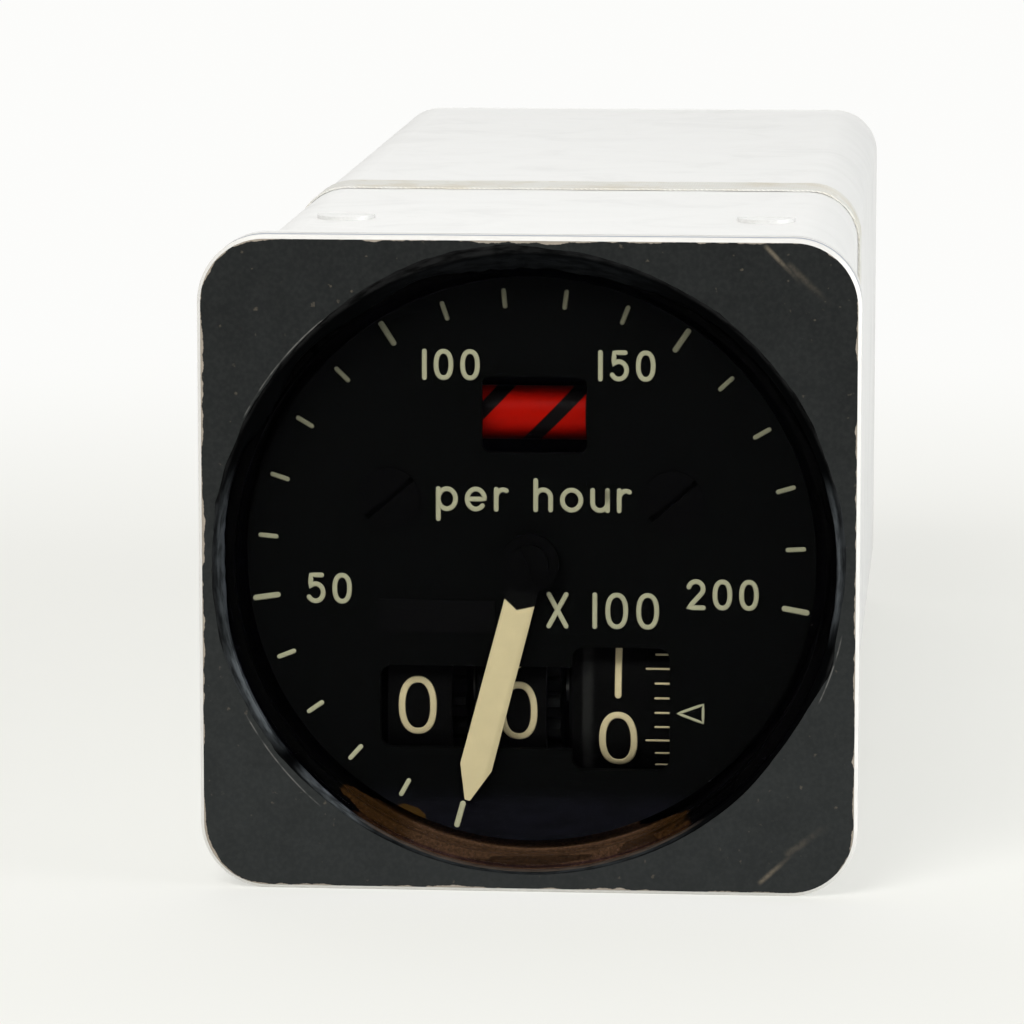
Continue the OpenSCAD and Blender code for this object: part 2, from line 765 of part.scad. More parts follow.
module dial_screws() {
    color([0.06, 0.06, 0.06])
    for (sx = [-1, 1]) translate([sx * dial_screw_x, dial_y, dial_screw_z]) {
        difference() {
            union() {
                rotate([-90, 0, 0]) countersink();
                translate([0, -dial_screw_rim, 0]) rotate([-90, 0, 0])
                    cylinder(h = dial_screw_rim, r = dial_screw_head_r);
                rotate([-90, 0, 0]) cylinder(h = dial_t + dial_screw_reach, r = large_r - seat);
            }
            rotate([0, dial_screw_turn, 0]) translate([-dial_screw_head_r, -cut, -slot_w / 2])
                cube([2 * dial_screw_head_r, cut + countersink_t / 2, slot_w]);
        }
    }
}

module name_plate() {
    color([0.09, 0.09, 0.09])
    slab_y(dial_y - name_plate_t, name_plate_t) translate(name_plate_place)
        square([name_plate_w, name_plate_h], center = true);
}

module dial_posts() {
    color([0.7, 0.7, 0.68])
    for (sx = [-1, 1]) difference() {
        rod_y(sx * dial_screw_x, dial_screw_z, dial_rear_y, front_y - dial_rear_y, large_r + spacer_wall);
        rod_y(sx * dial_screw_x, dial_screw_z, dial_rear_y - cut, dial_post_hole_l + cut, large_r);
    }
}

module frame_outline() {
    rounded(frame_w, frame_w, frame_r);
}

module front_frame() {
    opening_half = sqrt(pow(drum_r, 2) - pow(counter_y - front_y - frame_t, 2)) + slack;
    gear_half = counter_drive_r + slack;
    inner_x = left_cheek_x + cheek_t;
    color([0.74, 0.74, 0.72])
    difference() {
        slab_y(front_y, frame_t) difference() {
            frame_outline();
            translate([inner_x, counter_z - opening_half])
                square([right_cheek_x - inner_x, 2 * opening_half]);
            translate([drive_x - slack, counter_z - gear_half])
                square([drive_face_x + 2 * slack, 2 * gear_half]);
            circle(r = pointer_shaft_r + bush_wall);
            translate([flag_x, flag_z]) circle(r = core_r);
        }
        at_pillars() rod_y(0, 0, front_y - cut, frame_t + 2 * cut, small_r);
        at_tab_screws(true) rod_y(0, 0, front_y - cut, frame_t + 2 * cut, small_r);
        at_flag_screws() rod_y(0, 0, front_y - cut, frame_t + 2 * cut, small_r);
    }
}

module front_pillars() {
    color([0.78, 0.78, 0.76])
    difference() {
        at_pillars() rod_y(0, 0, front_y + frame_t, counter_bay, pillar_r);
        at_pillars() rod_y(0, 0, front_y + frame_t - cut, frame_screw_reach + 2 * cut, small_r);
        at_pillars() rod_y(0, 0, middle_y - stud_l, stud_l + cut, large_r);
        at_chassis_screws() translate([0, 0, -case_wall - pillar_r]) cylinder(h = 2 * pillar_r, r = large_r);
    }
}

module middle_frame() {
    color([0.74, 0.74, 0.72])
    difference() {
        slab_y(middle_y, frame_t) difference() {
            frame_outline();
            circle(r = pointer_shaft_r + bush_wall);
            translate([arbor_x, arbor_z]) circle(r = arbor_r + bush_wall);
        }
        at_pillars() rod_y(0, 0, middle_y - cut, frame_t + 2 * cut, large_r);
        at_tab_screws(false) rod_y(0, 0, middle_y - cut, frame_t + 2 * cut, small_r);
    }
}

module gear_pillars() {
    color([0.78, 0.78, 0.76])
    difference() {
        at_pillars() {
            rod_y(0, 0, middle_y + frame_t, gear_bay, pillar_r);
            rod_y(0, 0, middle_y - stud_l, stud_l + frame_t, large_r);
        }
        at_pillars() rod_y(0, 0, rear_y - rod_thread_l, rod_thread_l + cut, large_r);
    }
}

module rear_frame() {
    color([0.74, 0.74, 0.72])
    difference() {
        slab_y(rear_y, frame_t) difference() {
            frame_outline();
            for (p = motor_places) translate(p) circle(r = motor_pilot_r);
            translate([arbor_x, arbor_z]) circle(r = arbor_r + bush_wall);
        }
        at_pillars() rod_y(0, 0, rear_y - cut, frame_t + 2 * cut, large_r);
        at_cleats() rod_y(0, 0, rear_y - cut, frame_t + 2 * cut, small_r);
    }
}

module at_tab_screws(front) {
    for (x = front ? [tab_x[0]] : tab_x, z = tab_screw_z)
        translate([x, 0, z]) children();
}

module at_flag_screws() {
    for (sx = [-1, 1])
        translate([flag_x + sx * (flag_ear_x + flag_ear_t + flag_tab_l / 2), 0, flag_z]) children();
}

module at_cleats() {
    for (p = motor_places, a = cleat_angles)
        translate([p[0] + cleat_radius * cos(a), 0, p[1] + cleat_radius * sin(a)]) children();
}

module frame_screws() {
    shank = small_r - seat;
    color([0.62, 0.62, 0.6]) {
        at_pillars() translate([0, front_y, 0])
            screw_y(shank, small_head_r, small_head_h, frame_t + frame_screw_reach);
        at_tab_screws(true) translate([0, front_y, 0])
            screw_y(shank, small_head_r, small_head_h, frame_t + cheek_t);
        at_flag_screws() translate([0, front_y - flag_ear_t, 0])
            screw_y(shank, small_head_r, small_head_h, frame_t + flag_ear_t);
        at_tab_screws(false) translate([0, middle_y - cheek_t, 0])
            screw_y(shank, small_head_r, small_head_h, frame_t + cheek_t);
        at_cleats() translate([0, rear_face_y + cleat_t, 0]) rotate([0, 0, 180])
            screw_y(shank, small_head_r, small_head_h, frame_t + cleat_t);
    }
}

// A bush with its flange in front of the plate
module bush(x, z, y, r) {
    difference() {
        union() {
            rod_y(x, z, y, frame_t, r + bush_wall);
            rod_y(x, z, y - bush_flange_t, bush_flange_t, bush_flange_r);
        }
        rod_y(x, z, y - cut, frame_t + 2 * cut, r + running);
    }
}

module shaft_bushes() {
    color([0.75, 0.62, 0.35]) {
        bush(0, 0, front_y, pointer_shaft_r);
        bush(0, 0, middle_y, pointer_shaft_r);
        bush(arbor_x, arbor_z, middle_y, arbor_r);
        bush(arbor_x, arbor_z, rear_y, arbor_r);
    }
}

// Servo component with a pilot, a grooved flange, a plain body and a blind bearing bore
module motor_body(x, z, shaft_r) {
    groove_y = rear_face_y + motor_flange_t;
    body_y = groove_y + motor_groove_w;
    difference() {
        union() {
            rod_y(x, z, rear_y, frame_t, motor_pilot_r);
            rod_y(x, z, rear_face_y, motor_flange_t, motor_r);
            rod_y(x, z, groove_y, motor_groove_w, motor_groove_r);
            rod_y(x, z, body_y, rear_face_y + motor_l - body_y, motor_r);
        }
        rod_y(x, z, rear_y - cut, motor_shaft_end_y - rear_y + 2 * cut, shaft_r + running);
    }
}

module servo_motor_body() {
    color([0.5, 0.52, 0.54]) motor_body(servo_x, servo_z, arbor_r);
}

module position_sensor_body() {
    color([0.58, 0.6, 0.6]) motor_body(0, 0, pointer_shaft_r);
}

module motor_cleats() {
    color([0.8, 0.78, 0.7])
    difference() {
        at_cleats() rod_y(0, 0, rear_face_y, cleat_t, cleat_r);
        for (p = motor_places) rod_y(p[0], p[1], rear_face_y - cut, motor_flange_t + cut, motor_r + seat);
        at_cleats() rod_y(0, 0, rear_face_y - cut, cleat_t + 2 * cut, small_r);
    }
}

module cheek_outline() {
    front = front_y + frame_t;
    translate([front, channel_floor_z]) square([counter_bay, cheek_top_z - channel_floor_z]);
}

module counter_frame() {
    front = front_y + frame_t;
    width = right_cheek_x + cheek_t - left_cheek_x;
    color([0.8, 0.79, 0.76])
    difference() {
        union() {
            for (x = [left_cheek_x, right_cheek_x]) slab_x(x, cheek_t) cheek_outline();
            translate([left_cheek_x, front, channel_floor_z]) cube([width, counter_bay, cheek_t]);
            translate([left_cheek_x - tab_l, front, tab_bottom_z])
                cube([tab_l + cheek_t, cheek_t, tab_top_z - tab_bottom_z]);
            for (x = [left_cheek_x - tab_l, right_cheek_x])
                translate([x, middle_y - cheek_t, tab_bottom_z])
                    cube([tab_l + cheek_t, cheek_t, tab_top_z - tab_bottom_z]);
            rod_x(right_cheek_x, idler_y, idler_z, drive_x + drive_face_x + shaft_proud - right_cheek_x,
                transfer_shaft_r);
        }
        rod_x(left_cheek_x - cut, counter_y, counter_z, width + 2 * cut, counter_shaft_r + bush_wall);
        rod_x(left_cheek_x - cut, transfer_y, transfer_z, width + 2 * cut, transfer_shaft_r);
        rod_x(right_cheek_x - cut, counter_motor_y, counter_motor_z, cheek_t + 2 * cut, motor_boss_r);
        at_tab_screws(true) rod_y(0, 0, front - cut, cheek_t + 2 * cut, small_r);
        at_tab_screws(false) rod_y(0, 0, middle_y - cheek_t - cut, cheek_t + 2 * cut, small_r);
    }
}

module counter_bushes() {
    color([0.75, 0.62, 0.35])
    difference() {
        union() {
            rod_x(left_cheek_x, counter_y, counter_z, cheek_t, counter_shaft_r + bush_wall);
            rod_x(right_cheek_x, counter_y, counter_z, cheek_t, counter_shaft_r + bush_wall);
            rod_x(right_cheek_x + cheek_t, counter_y, counter_z, bush_rim_t, counter_shaft_r + 2 * bush_wall);
        }
        rod_x(left_cheek_x - cut, counter_y, counter_z, drive_x - left_cheek_x + 2 * cut,
            counter_shaft_r + running);
    }
}

module transfer_shaft() {
    color([0.7, 0.7, 0.7])
    rod_x(left_cheek_x, transfer_y, transfer_z, right_cheek_x + cheek_t - left_cheek_x, transfer_shaft_r);
}

module counter_motor_body() {
    color([0.35, 0.36, 0.36])
    difference() {
        union() {
            rod_x(right_cheek_x - counter_motor_l, counter_motor_y, counter_motor_z,
                counter_motor_l, counter_motor_r);
            rod_x(right_cheek_x, counter_motor_y, counter_motor_z, cheek_t, motor_boss_r);
        }
        rod_x(right_cheek_x - counter_motor_bore_l, counter_motor_y, counter_motor_z,
            counter_motor_bore_l + cheek_t + cut, counter_motor_shaft_r + running);
    }
}

module flag_brackets() {
    ear_y = flag_y - flag_ear_reach;
    color([0.72, 0.72, 0.7])
    difference() {
        for (sx = [-1, 1]) translate([flag_x, 0, flag_z]) {
            translate([sx > 0 ? flag_ear_x : -flag_ear_x - flag_ear_t, ear_y, -flag_ear_h / 2])
                cube([flag_ear_t, front_y - ear_y, flag_ear_h]);
            translate([sx > 0 ? flag_ear_x : -flag_ear_x - flag_ear_t - flag_tab_l,
                front_y - flag_ear_t, -flag_ear_h / 2])
                cube([flag_tab_l + flag_ear_t, flag_ear_t, flag_ear_h]);
        }
        rod_x(flag_x - flag_l, flag_y, flag_z, 2 * flag_l, flag_pivot_r + running);
        at_flag_screws() rod_y(0, 0, front_y - flag_ear_t - cut, flag_ear_t + 2 * cut, small_r);
    }
}

module flag_coil() {
    back_y = front_y + frame_t;
    color([0.5, 0.25, 0.12])
    union() {
        rod_y(flag_x, flag_z, back_y, flag_coil_l, flag_coil_r - coil_recess);
        rod_y(flag_x, flag_z, back_y, coil_cheek_t, flag_coil_r);
        rod_y(flag_x, flag_z, back_y + flag_coil_l - coil_cheek_t, coil_cheek_t, flag_coil_r);
        rod_y(flag_x, flag_z, front_y, flag_coil_l + frame_t + core_proud, core_r);
    }
}

// Headed rods that clamp the cards and spacers to the rear frame
module tie_rods() {
    card_end = second_card_y + card_t;
    start = rear_y - rod_thread_l;
    color([0.76, 0.76, 0.74])
    at_pillars() {
        rod_y(0, 0, start, card_end - start, large_r);
        slab_y(card_end, rod_head_t) circle(r = rod_head_r, $fn = 6);
    }
}

module card_spacers() {
    color([0.8, 0.8, 0.78])
    difference() {
        at_pillars() {
            rod_y(0, 0, rear_face_y, first_card_y - rear_face_y, large_r + spacer_wall);
            rod_y(0, 0, first_card_y + card_t, card_bay, large_r + spacer_wall);
        }
        at_pillars() rod_y(0, 0, rear_face_y - cut, second_card_y - rear_face_y + 2 * cut, large_r);
    }
}

module card(y) {
    difference() {
        slab_y(y, card_t) rounded(card_w, card_w, frame_r - card_margin);
        at_pillars() rod_y(0, 0, y - cut, card_t + 2 * cut, large_r);
    }
}

module amplifier_card() {
    color([0.45, 0.5, 0.25]) card(first_card_y);
}

module power_card() {
    color([0.45, 0.5, 0.25]) card(second_card_y);
}

// Can transistors in front of the second card's capacitors, all standing on the cards
module card_parts() {
    back = first_card_y + card_t;
    color([0.6, 0.62, 0.66]) {
        for (ix = [-1:1], iz = [-1:1])
            rod_y(ix * transistor_pitch[0], iz * transistor_pitch[1], back, transistor[1], transistor[0]);
        for (sz = [-1, 1])
            rod_y(capacitor_place[0], sz * capacitor_place[1], second_card_y + card_t,
                capacitor[1], capacitor[0]);
    }
}

module power_transformer() {
    winding = transformer_size + 2 * [winding_proud, -winding_inset, -winding_inset];
    middle = [transformer_x, second_card_y + card_t + transformer_size[1] / 2, 0];
    color([0.3, 0.3, 0.32])
    translate(middle) union() {
        cube(transformer_size, center = true);
        cube(winding, center = true);
    }
}

module wiring_loom() {
    start = second_card_y + card_t;
    color([0.75, 0.72, 0.65])
    for (p = pin_places()) if (norm(p) < outer_pin_circle)
        rod_y(p[0] + loom_x, p[1], start, insert_rear_y - start, wire_r);
}

// The pointer is drawn pointing up and then turned to its resting place
module at_pointer() {
    rotate([0, zero_angle - pointer_rest, 0]) children();
}

module pointer() {
    half = pointer_root_w / 2;
    shoulder = pointer_shoulder_w / 2;
    tip = pointer_tip_w / 2;
    color([0.86, 0.8, 0.62])
    at_pointer() slab_y(pointer_y, pointer_t) difference() {
        union() {
            polygon([[-half, 0], [half, 0], [shoulder, pointer_shoulder], [tip, pointer_l],
                [-tip, pointer_l], [-shoulder, pointer_shoulder]]);
            circle(r = hub_r);
        }
        circle(r = hub_sleeve_r);
    }
}

module pointer_hub() {
    color([0.06, 0.06, 0.06])
    difference() {
        union() {
            rod_y(0, 0, hub_y, hub_face_t, hub_r);
            rod_y(0, 0, hub_y, dial_rear_y + hub_tail - hub_y, hub_sleeve_r);
        }
        rod_y(0, 0, hub_y - cut, dial_rear_y + hub_tail - hub_y + 2 * cut, pointer_shaft_r);
    }
}

module pointer_screw() {
    color([0.08, 0.08, 0.08])
    translate([0, hub_y, 0]) rotate([0, hub_screw_turn, 0])
        screw_y(hub_thread_r, hub_screw_r, hub_screw_h, hub_screw_l);
}

module pointer_shaft() {
    color([0.75, 0.75, 0.75])
    difference() {
        rod_y(0, 0, hub_y, motor_shaft_end_y - hub_y, pointer_shaft_r);
        rod_y(0, 0, hub_y - cut, hub_screw_l + cut, hub_thread_r);
    }
}

// Round holes that lighten a wheel, halfway out to its pitch circle
module wheel_holes(teeth, count) {
    for (i = [0:count - 1])
        rotate(i * 360 / count) translate([drive_module * teeth / 4, 0])
            circle(r = drive_module * teeth / 10);
}

module pointer_gear() {
    color([0.8, 0.66, 0.36])
    slab_y(first_gear_y, drive_face) difference() {
        drive_gear(pointer_gear_teeth, 0);
        circle(r = pointer_shaft_r);
        wheel_holes(pointer_gear_teeth, 4);
    }
}

module intermediate_arbor() {
    start = middle_y - bush_flange_t - shaft_proud;
    color([0.72, 0.72, 0.72])
    union() {
        rod_y(arbor_x, arbor_z, start, rear_face_y + shaft_proud - start, arbor_r);
        slab_y(first_gear_y - pinion_extra, drive_face + 2 * pinion_extra) translate([arbor_x, arbor_z])
            drive_gear(pinion_teeth, arbor_turn);
    }
}

module intermediate_wheel() {
    color([0.8, 0.66, 0.36])
    slab_y(second_gear_y, drive_face) translate([arbor_x, arbor_z]) difference() {
        drive_gear(wheel_teeth, arbor_turn);
        circle(r = arbor_r);
        wheel_holes(wheel_teeth, 5);
    }
}

module servo_pinion() {
    start = second_gear_y - pinion_extra;
    color([0.72, 0.72, 0.72])
    union() {
        rod_y(servo_x, servo_z, start - shaft_proud, motor_shaft_end_y - start + shaft_proud, arbor_r);
        slab_y(start, drive_face + 2 * pinion_extra) translate([servo_x, servo_z])
            drive_gear(pinion_teeth, servo_turn);
    }
}

// A counter drum: a rim, a web at its left and a hub
module drum(x, w, bore_r) {
    difference() {
        rod_x(x, counter_y, counter_z, w, drum_r);
        rod_x(x + drum_web_t, counter_y, counter_z, w, drum_r - drum_wall);
    }
    difference() {
        rod_x(x, counter_y, counter_z, w, bore_r + drum_hub_wall);
        rod_x(x - cut, counter_y, counter_z, w + 2 * cut, bore_r);
    }
}

// The transfer gear stands out of the drum's right side, and meshes with its pinion
module drum_with_gear(x, w, disc_r) {
    bore_r = counter_shaft_r + running;
    difference() {
        union() {
            drum(x, w, bore_r);
            rod_x(x - drum_boss_l, counter_y, counter_z, drum_boss_l + bite, disc_r);
            slab_x(x + w - bite, transfer_face + bite) translate([counter_y, counter_z])
                transfer_teeth(transfer_gear_teeth, 0);
        }
        rod_x(x - drum_boss_l - cut, counter_y, counter_z, drum_boss_l + w + transfer_face + 2 * cut,
            bore_r);
    }
}

module hundreds_drum() {
    color([0.09, 0.09, 0.09]) drum_with_gear(hundreds_x, hundreds_w, counter_shaft_r + drum_hub_wall);
}

module tens_drum() {
    color([0.09, 0.09, 0.09]) drum_with_gear(tens_x, tens_w, plain_disc_r);
}

module units_drum() {
    color([0.09, 0.09, 0.09])
    difference() {
        union() {
            drum(units_x, units_w, counter_shaft_r);
            rod_x(units_x - drum_boss_l, counter_y, counter_z, drum_boss_l + bite, plain_disc_r);
        }
        rod_x(units_x - drum_boss_l - cut, counter_y, counter_z, drum_boss_l + units_w + 2 * cut,
            counter_shaft_r);
    }
}

module counter_shaft() {
    start = left_cheek_x - shaft_proud;
    color([0.72, 0.72, 0.72])
    rod_x(start, counter_y, counter_z, drive_x + drive_face_x + shaft_proud - start, counter_shaft_r);
}

module counter_gear() {
    color([0.8, 0.66, 0.36])
    slab_x(drive_x, drive_face_x) translate([counter_y, counter_z]) difference() {
        counter_teeth(counter_gear_teeth, 0);
        circle(r = counter_shaft_r);
    }
}

module transfer_pinion(drum_end_x) {
    gap = transfer_pinion_gap;
    slab_x(drum_end_x + gap[0], drum_spacing - gap[0] - gap[1])
        translate([transfer_y, transfer_z]) difference() {
        transfer_teeth(transfer_pinion_teeth, transfer_turn);
        circle(r = transfer_shaft_r + running);
    }
}

module hundreds_pinion() {
    color([0.85, 0.82, 0.72]) transfer_pinion(hundreds_x + hundreds_w);
}

module tens_pinion() {
    color([0.85, 0.82, 0.72]) transfer_pinion(tens_x + tens_w);
}

module counter_idler() {
    color([0.8, 0.66, 0.36])
    slab_x(drive_x, drive_face_x) translate([idler_y, idler_z]) difference() {
        counter_teeth(counter_idler_teeth, idler_turn);
        circle(r = transfer_shaft_r + running);
    }
}

module counter_motor_gear() {
    start = right_cheek_x - counter_motor_bore_l + cut;
    color([0.8, 0.66, 0.36])
    union() {
        rod_x(start, counter_motor_y, counter_motor_z, drive_x + drive_face_x + shaft_proud - start,
            counter_motor_shaft_r);
        slab_x(drive_x, drive_face_x) translate([counter_motor_y, counter_motor_z])
            counter_teeth(counter_motor_teeth, counter_motor_turn);
    }
}

module flag_drum() {
    color([0.8, 0.1, 0.05])
    union() {
        rod_x(flag_x - flag_l / 2, flag_y, flag_z, flag_l, flag_r);
        rod_x(flag_x - flag_l / 2 - flag_pivot_l, flag_y, flag_z, flag_l + 2 * flag_pivot_l, flag_pivot_r);
    }
}

bezel();
bezel_gasket();
bezel_screws();
cover_glass();
glass_sealant();
spacer_ring();
case_front();
joint_band();
case_rear();
rear_plate();
rear_screws();
chassis_screws();
connector_shell();
connector_insert();
connector_pins();
dial_plate();
dial_screws();
name_plate();
dial_posts();
front_frame();
front_pillars();
middle_frame();
gear_pillars();
rear_frame();
frame_screws();
shaft_bushes();
servo_motor_body();
position_sensor_body();
motor_cleats();
counter_frame();
counter_bushes();
transfer_shaft();
counter_motor_body();
flag_brackets();
flag_coil();
tie_rods();
card_spacers();
amplifier_card();
power_card();
card_parts();
power_transformer();
wiring_loom();
pointer();
pointer_hub();
pointer_screw();
pointer_shaft();
pointer_gear();
intermediate_arbor();
intermediate_wheel();
servo_pinion();
hundreds_drum();
tens_drum();
units_drum();
counter_shaft();
counter_gear();
hundreds_pinion();
tens_pinion();
counter_idler();
counter_motor_gear();
flag_drum();
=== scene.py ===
import json
import math

import bpy
from bpy.props import FloatProperty, FloatVectorProperty, IntProperty, PointerProperty
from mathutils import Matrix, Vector, noise


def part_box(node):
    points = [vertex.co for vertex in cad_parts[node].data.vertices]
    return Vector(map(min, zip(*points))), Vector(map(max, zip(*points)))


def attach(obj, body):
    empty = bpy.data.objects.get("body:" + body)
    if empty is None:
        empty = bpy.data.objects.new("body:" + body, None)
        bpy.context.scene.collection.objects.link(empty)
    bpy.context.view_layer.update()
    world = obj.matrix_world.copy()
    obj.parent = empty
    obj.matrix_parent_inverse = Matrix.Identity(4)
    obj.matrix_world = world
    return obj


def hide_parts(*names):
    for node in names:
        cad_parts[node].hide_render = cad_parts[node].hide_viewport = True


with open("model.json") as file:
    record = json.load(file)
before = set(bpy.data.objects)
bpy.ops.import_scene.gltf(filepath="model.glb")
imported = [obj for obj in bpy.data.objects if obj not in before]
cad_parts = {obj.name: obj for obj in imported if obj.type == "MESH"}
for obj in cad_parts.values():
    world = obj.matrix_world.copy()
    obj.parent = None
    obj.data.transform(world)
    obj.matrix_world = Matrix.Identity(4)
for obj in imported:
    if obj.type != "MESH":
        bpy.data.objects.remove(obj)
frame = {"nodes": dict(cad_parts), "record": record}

bl_info = {
    "name": "Panel flow gauge",
    "version": (1, 0, 0),
    "blender": (4, 5, 0),
    "location": "3D View > Sidebar > Gauge",
    "description": "Letters, seals and finishes a square panel gauge built around its CAD frame",
    "category": "Object",
}

MM = 0.001
DEG = math.pi / 180


def low(node):
    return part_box(node)[0]


def high(node):
    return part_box(node)[1]


def axle(node):
    """The Y and Z of a drum's axis, and its radius."""
    a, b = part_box(node)
    return (a.y + b.y) / 2, (a.z + b.z) / 2, (b.z - a.z) / 2


# The dial's centre lies on the Y axis, and the face looks along -Y.
FACE_Y = low("bezel").y
BEZEL_HALF = high("bezel").x
BEZEL_CORNER = 6.2 * MM
BEZEL_BACK_Y = high("bezel").y
GLASS_Y = low("cover_glass").y
GLASS_PLAY = 0.15 * MM
APERTURE_R = high("cover_glass").x + GLASS_PLAY
DIAL_Y = low("dial_plate").y
DIAL_R = high("dial_plate").x
SCREW_X, SCREW_Z, SCREW_SEAT_R = 13.1 * MM, 5.7 * MM, 2.9 * MM
CASE_CORNER = 5.25 * MM
DRUM_Y, DRUM_Z, DRUM_R = axle("units_drum")
FLAG_Y, FLAG_Z = axle("flag_drum")[:2]

# Where the scale's zero and the units drum's 0 stand in the photo.
ZERO_ANGLE = 195.42 * DEG
UNITS_START = -17.3 * DEG


def length(name, description, default):
    """The setting of a length, its default in millimetres."""
    return FloatProperty(
        name=name, description=description, default=default * MM, subtype="DISTANCE", unit="LENGTH")


def angle(name, description, default):
    return FloatProperty(
        name=name, description=description, default=default, subtype="ANGLE", unit="ROTATION")


def colour(name, description, default):
    return FloatVectorProperty(
        name=name, description=description, default=default, subtype="COLOR", min=0, max=1)


class GaugeScale(bpy.types.PropertyGroup):
    first_angle: angle("First mark", "Angle of the first mark, clockwise from the top", ZERO_ANGLE)
    step: angle("Step", "Angle between two marks", 13.234 * DEG)
    marks: IntProperty(
        name="Marks", description="How many marks the scale has", default=21, min=2, max=60)
    group: IntProperty(
        name="Group", description="Every which mark is a long one", default=5, min=1, max=10)
    inner_radius: length("Inner radius", "Radius where the marks begin", 23.5)
    short_length: length("Short mark", "Length of a short mark", 1.88)
    long_length: length("Long mark", "Length of a long mark", 2.6)
    short_width: length("Short mark's width", "Width of a short mark", 0.44)
    long_width: length("Long mark's width", "Width of a long mark", 0.55)


class GaugeLettering(bpy.types.PropertyGroup):
    figure_height: length("Figures", "Height of the scale's figures", 2.9)
    multiplier_height: length("Multiplier", "Height of the multiplier's figures", 3.42)
    legend_height: length("Legend", "Height of the legend's small letters", 2.32)
    drum_height: length("Drum figures", "Height of the figures on the drums", 5.6)
    drum_width: FloatProperty(
        name="Drum figures' width", default=1.06, min=0.5, max=2,
        description="How much wider the drums' figures are than the dial's")
    stroke: length("Stroke", "Width of the dial's strokes", 0.46)
    drum_stroke: length("Drum stroke", "Width of the drum figures' strokes", 0.64)
    relief: length("Relief", "How far the paint stands out", 0.03)


class GaugeSeals(bpy.types.PropertyGroup):
    inner_radius: length("Inner foot", "Radius where the bead meets the glass", 28.25)
    outer_radius: length("Outer foot", "Radius where the bead meets the bezel's face", 28.78)
    height: length("Height", "How far the bead stands out from its feet", 0.08)
    tape_wave: length("Tape wave", "How far the tape's edges wander", 0.35)


class GaugeColours(bpy.types.PropertyGroup):
    paint: colour("Bezel paint", "Slate paint of the bezel", (0.0232, 0.0255, 0.0253))
    primer: colour("Primer", "What shows where the paint has chipped", (0.34, 0.3, 0.25))
    case: colour("Case", "Satin metal of the case", (0.77, 0.77, 0.755))
    dial: colour("Dial", "Matt black of the dial", (0.0014, 0.0016, 0.0014))
    lettering: colour("Lettering", "Aged cream of the marks and figures", (0.385, 0.374, 0.246))
    pointer: colour("Pointer", "Cream of the pointer and the drums' figures", (0.64, 0.54, 0.32))
    flag: colour("Flag", "Red of the warning flag", (0.34, 0.0035, 0.0006))
    # This brown is painted light: it marks the foot of the dial's well, where light falls in from above.
    rust: colour("Browned edge", "Brown at the foot of the dial's well", (0.07, 0.037, 0.02))
    sealant: colour("Sealant", "Black of the glass's sealant", (0.0008, 0.0009, 0.001))
    tape: colour("Tape", "Aged tape over the case's joint", (0.77, 0.765, 0.72))


def deselect():
    bpy.ops.object.select_all(action="DESELECT")


def only(piece):
    deselect()
    piece.select_set(True)
    bpy.context.view_layer.objects.active = piece


def named(name):
    piece = bpy.context.object
    piece.name = name
    piece.data.name = name
    return piece


def settle(piece, material, body):
    """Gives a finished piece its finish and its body."""
    piece.data.materials.clear()
    piece.data.materials.append(material)
    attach(piece, body)


def scaled(tone, factor):
    return [c * factor for c in tone]


class Signal:
    """What a node gives. Sums with it and with plain numbers become nodes themselves."""

    def __init__(self, nodes, socket):
        self.nodes = nodes
        self.socket = socket

    def __add__(self, other):
        return self.nodes.calc("ADD", self, other)

    def __sub__(self, other):
        return self.nodes.calc("SUBTRACT", self, other)

    def __rsub__(self, other):
        return self.nodes.calc("SUBTRACT", other, self)

    def __mul__(self, other):
        return self.nodes.calc("MULTIPLY", self, other)

    def __truediv__(self, other):
        return self.nodes.calc("DIVIDE", self, other)

    def __abs__(self):
        return self.nodes.calc("ABSOLUTE", self)


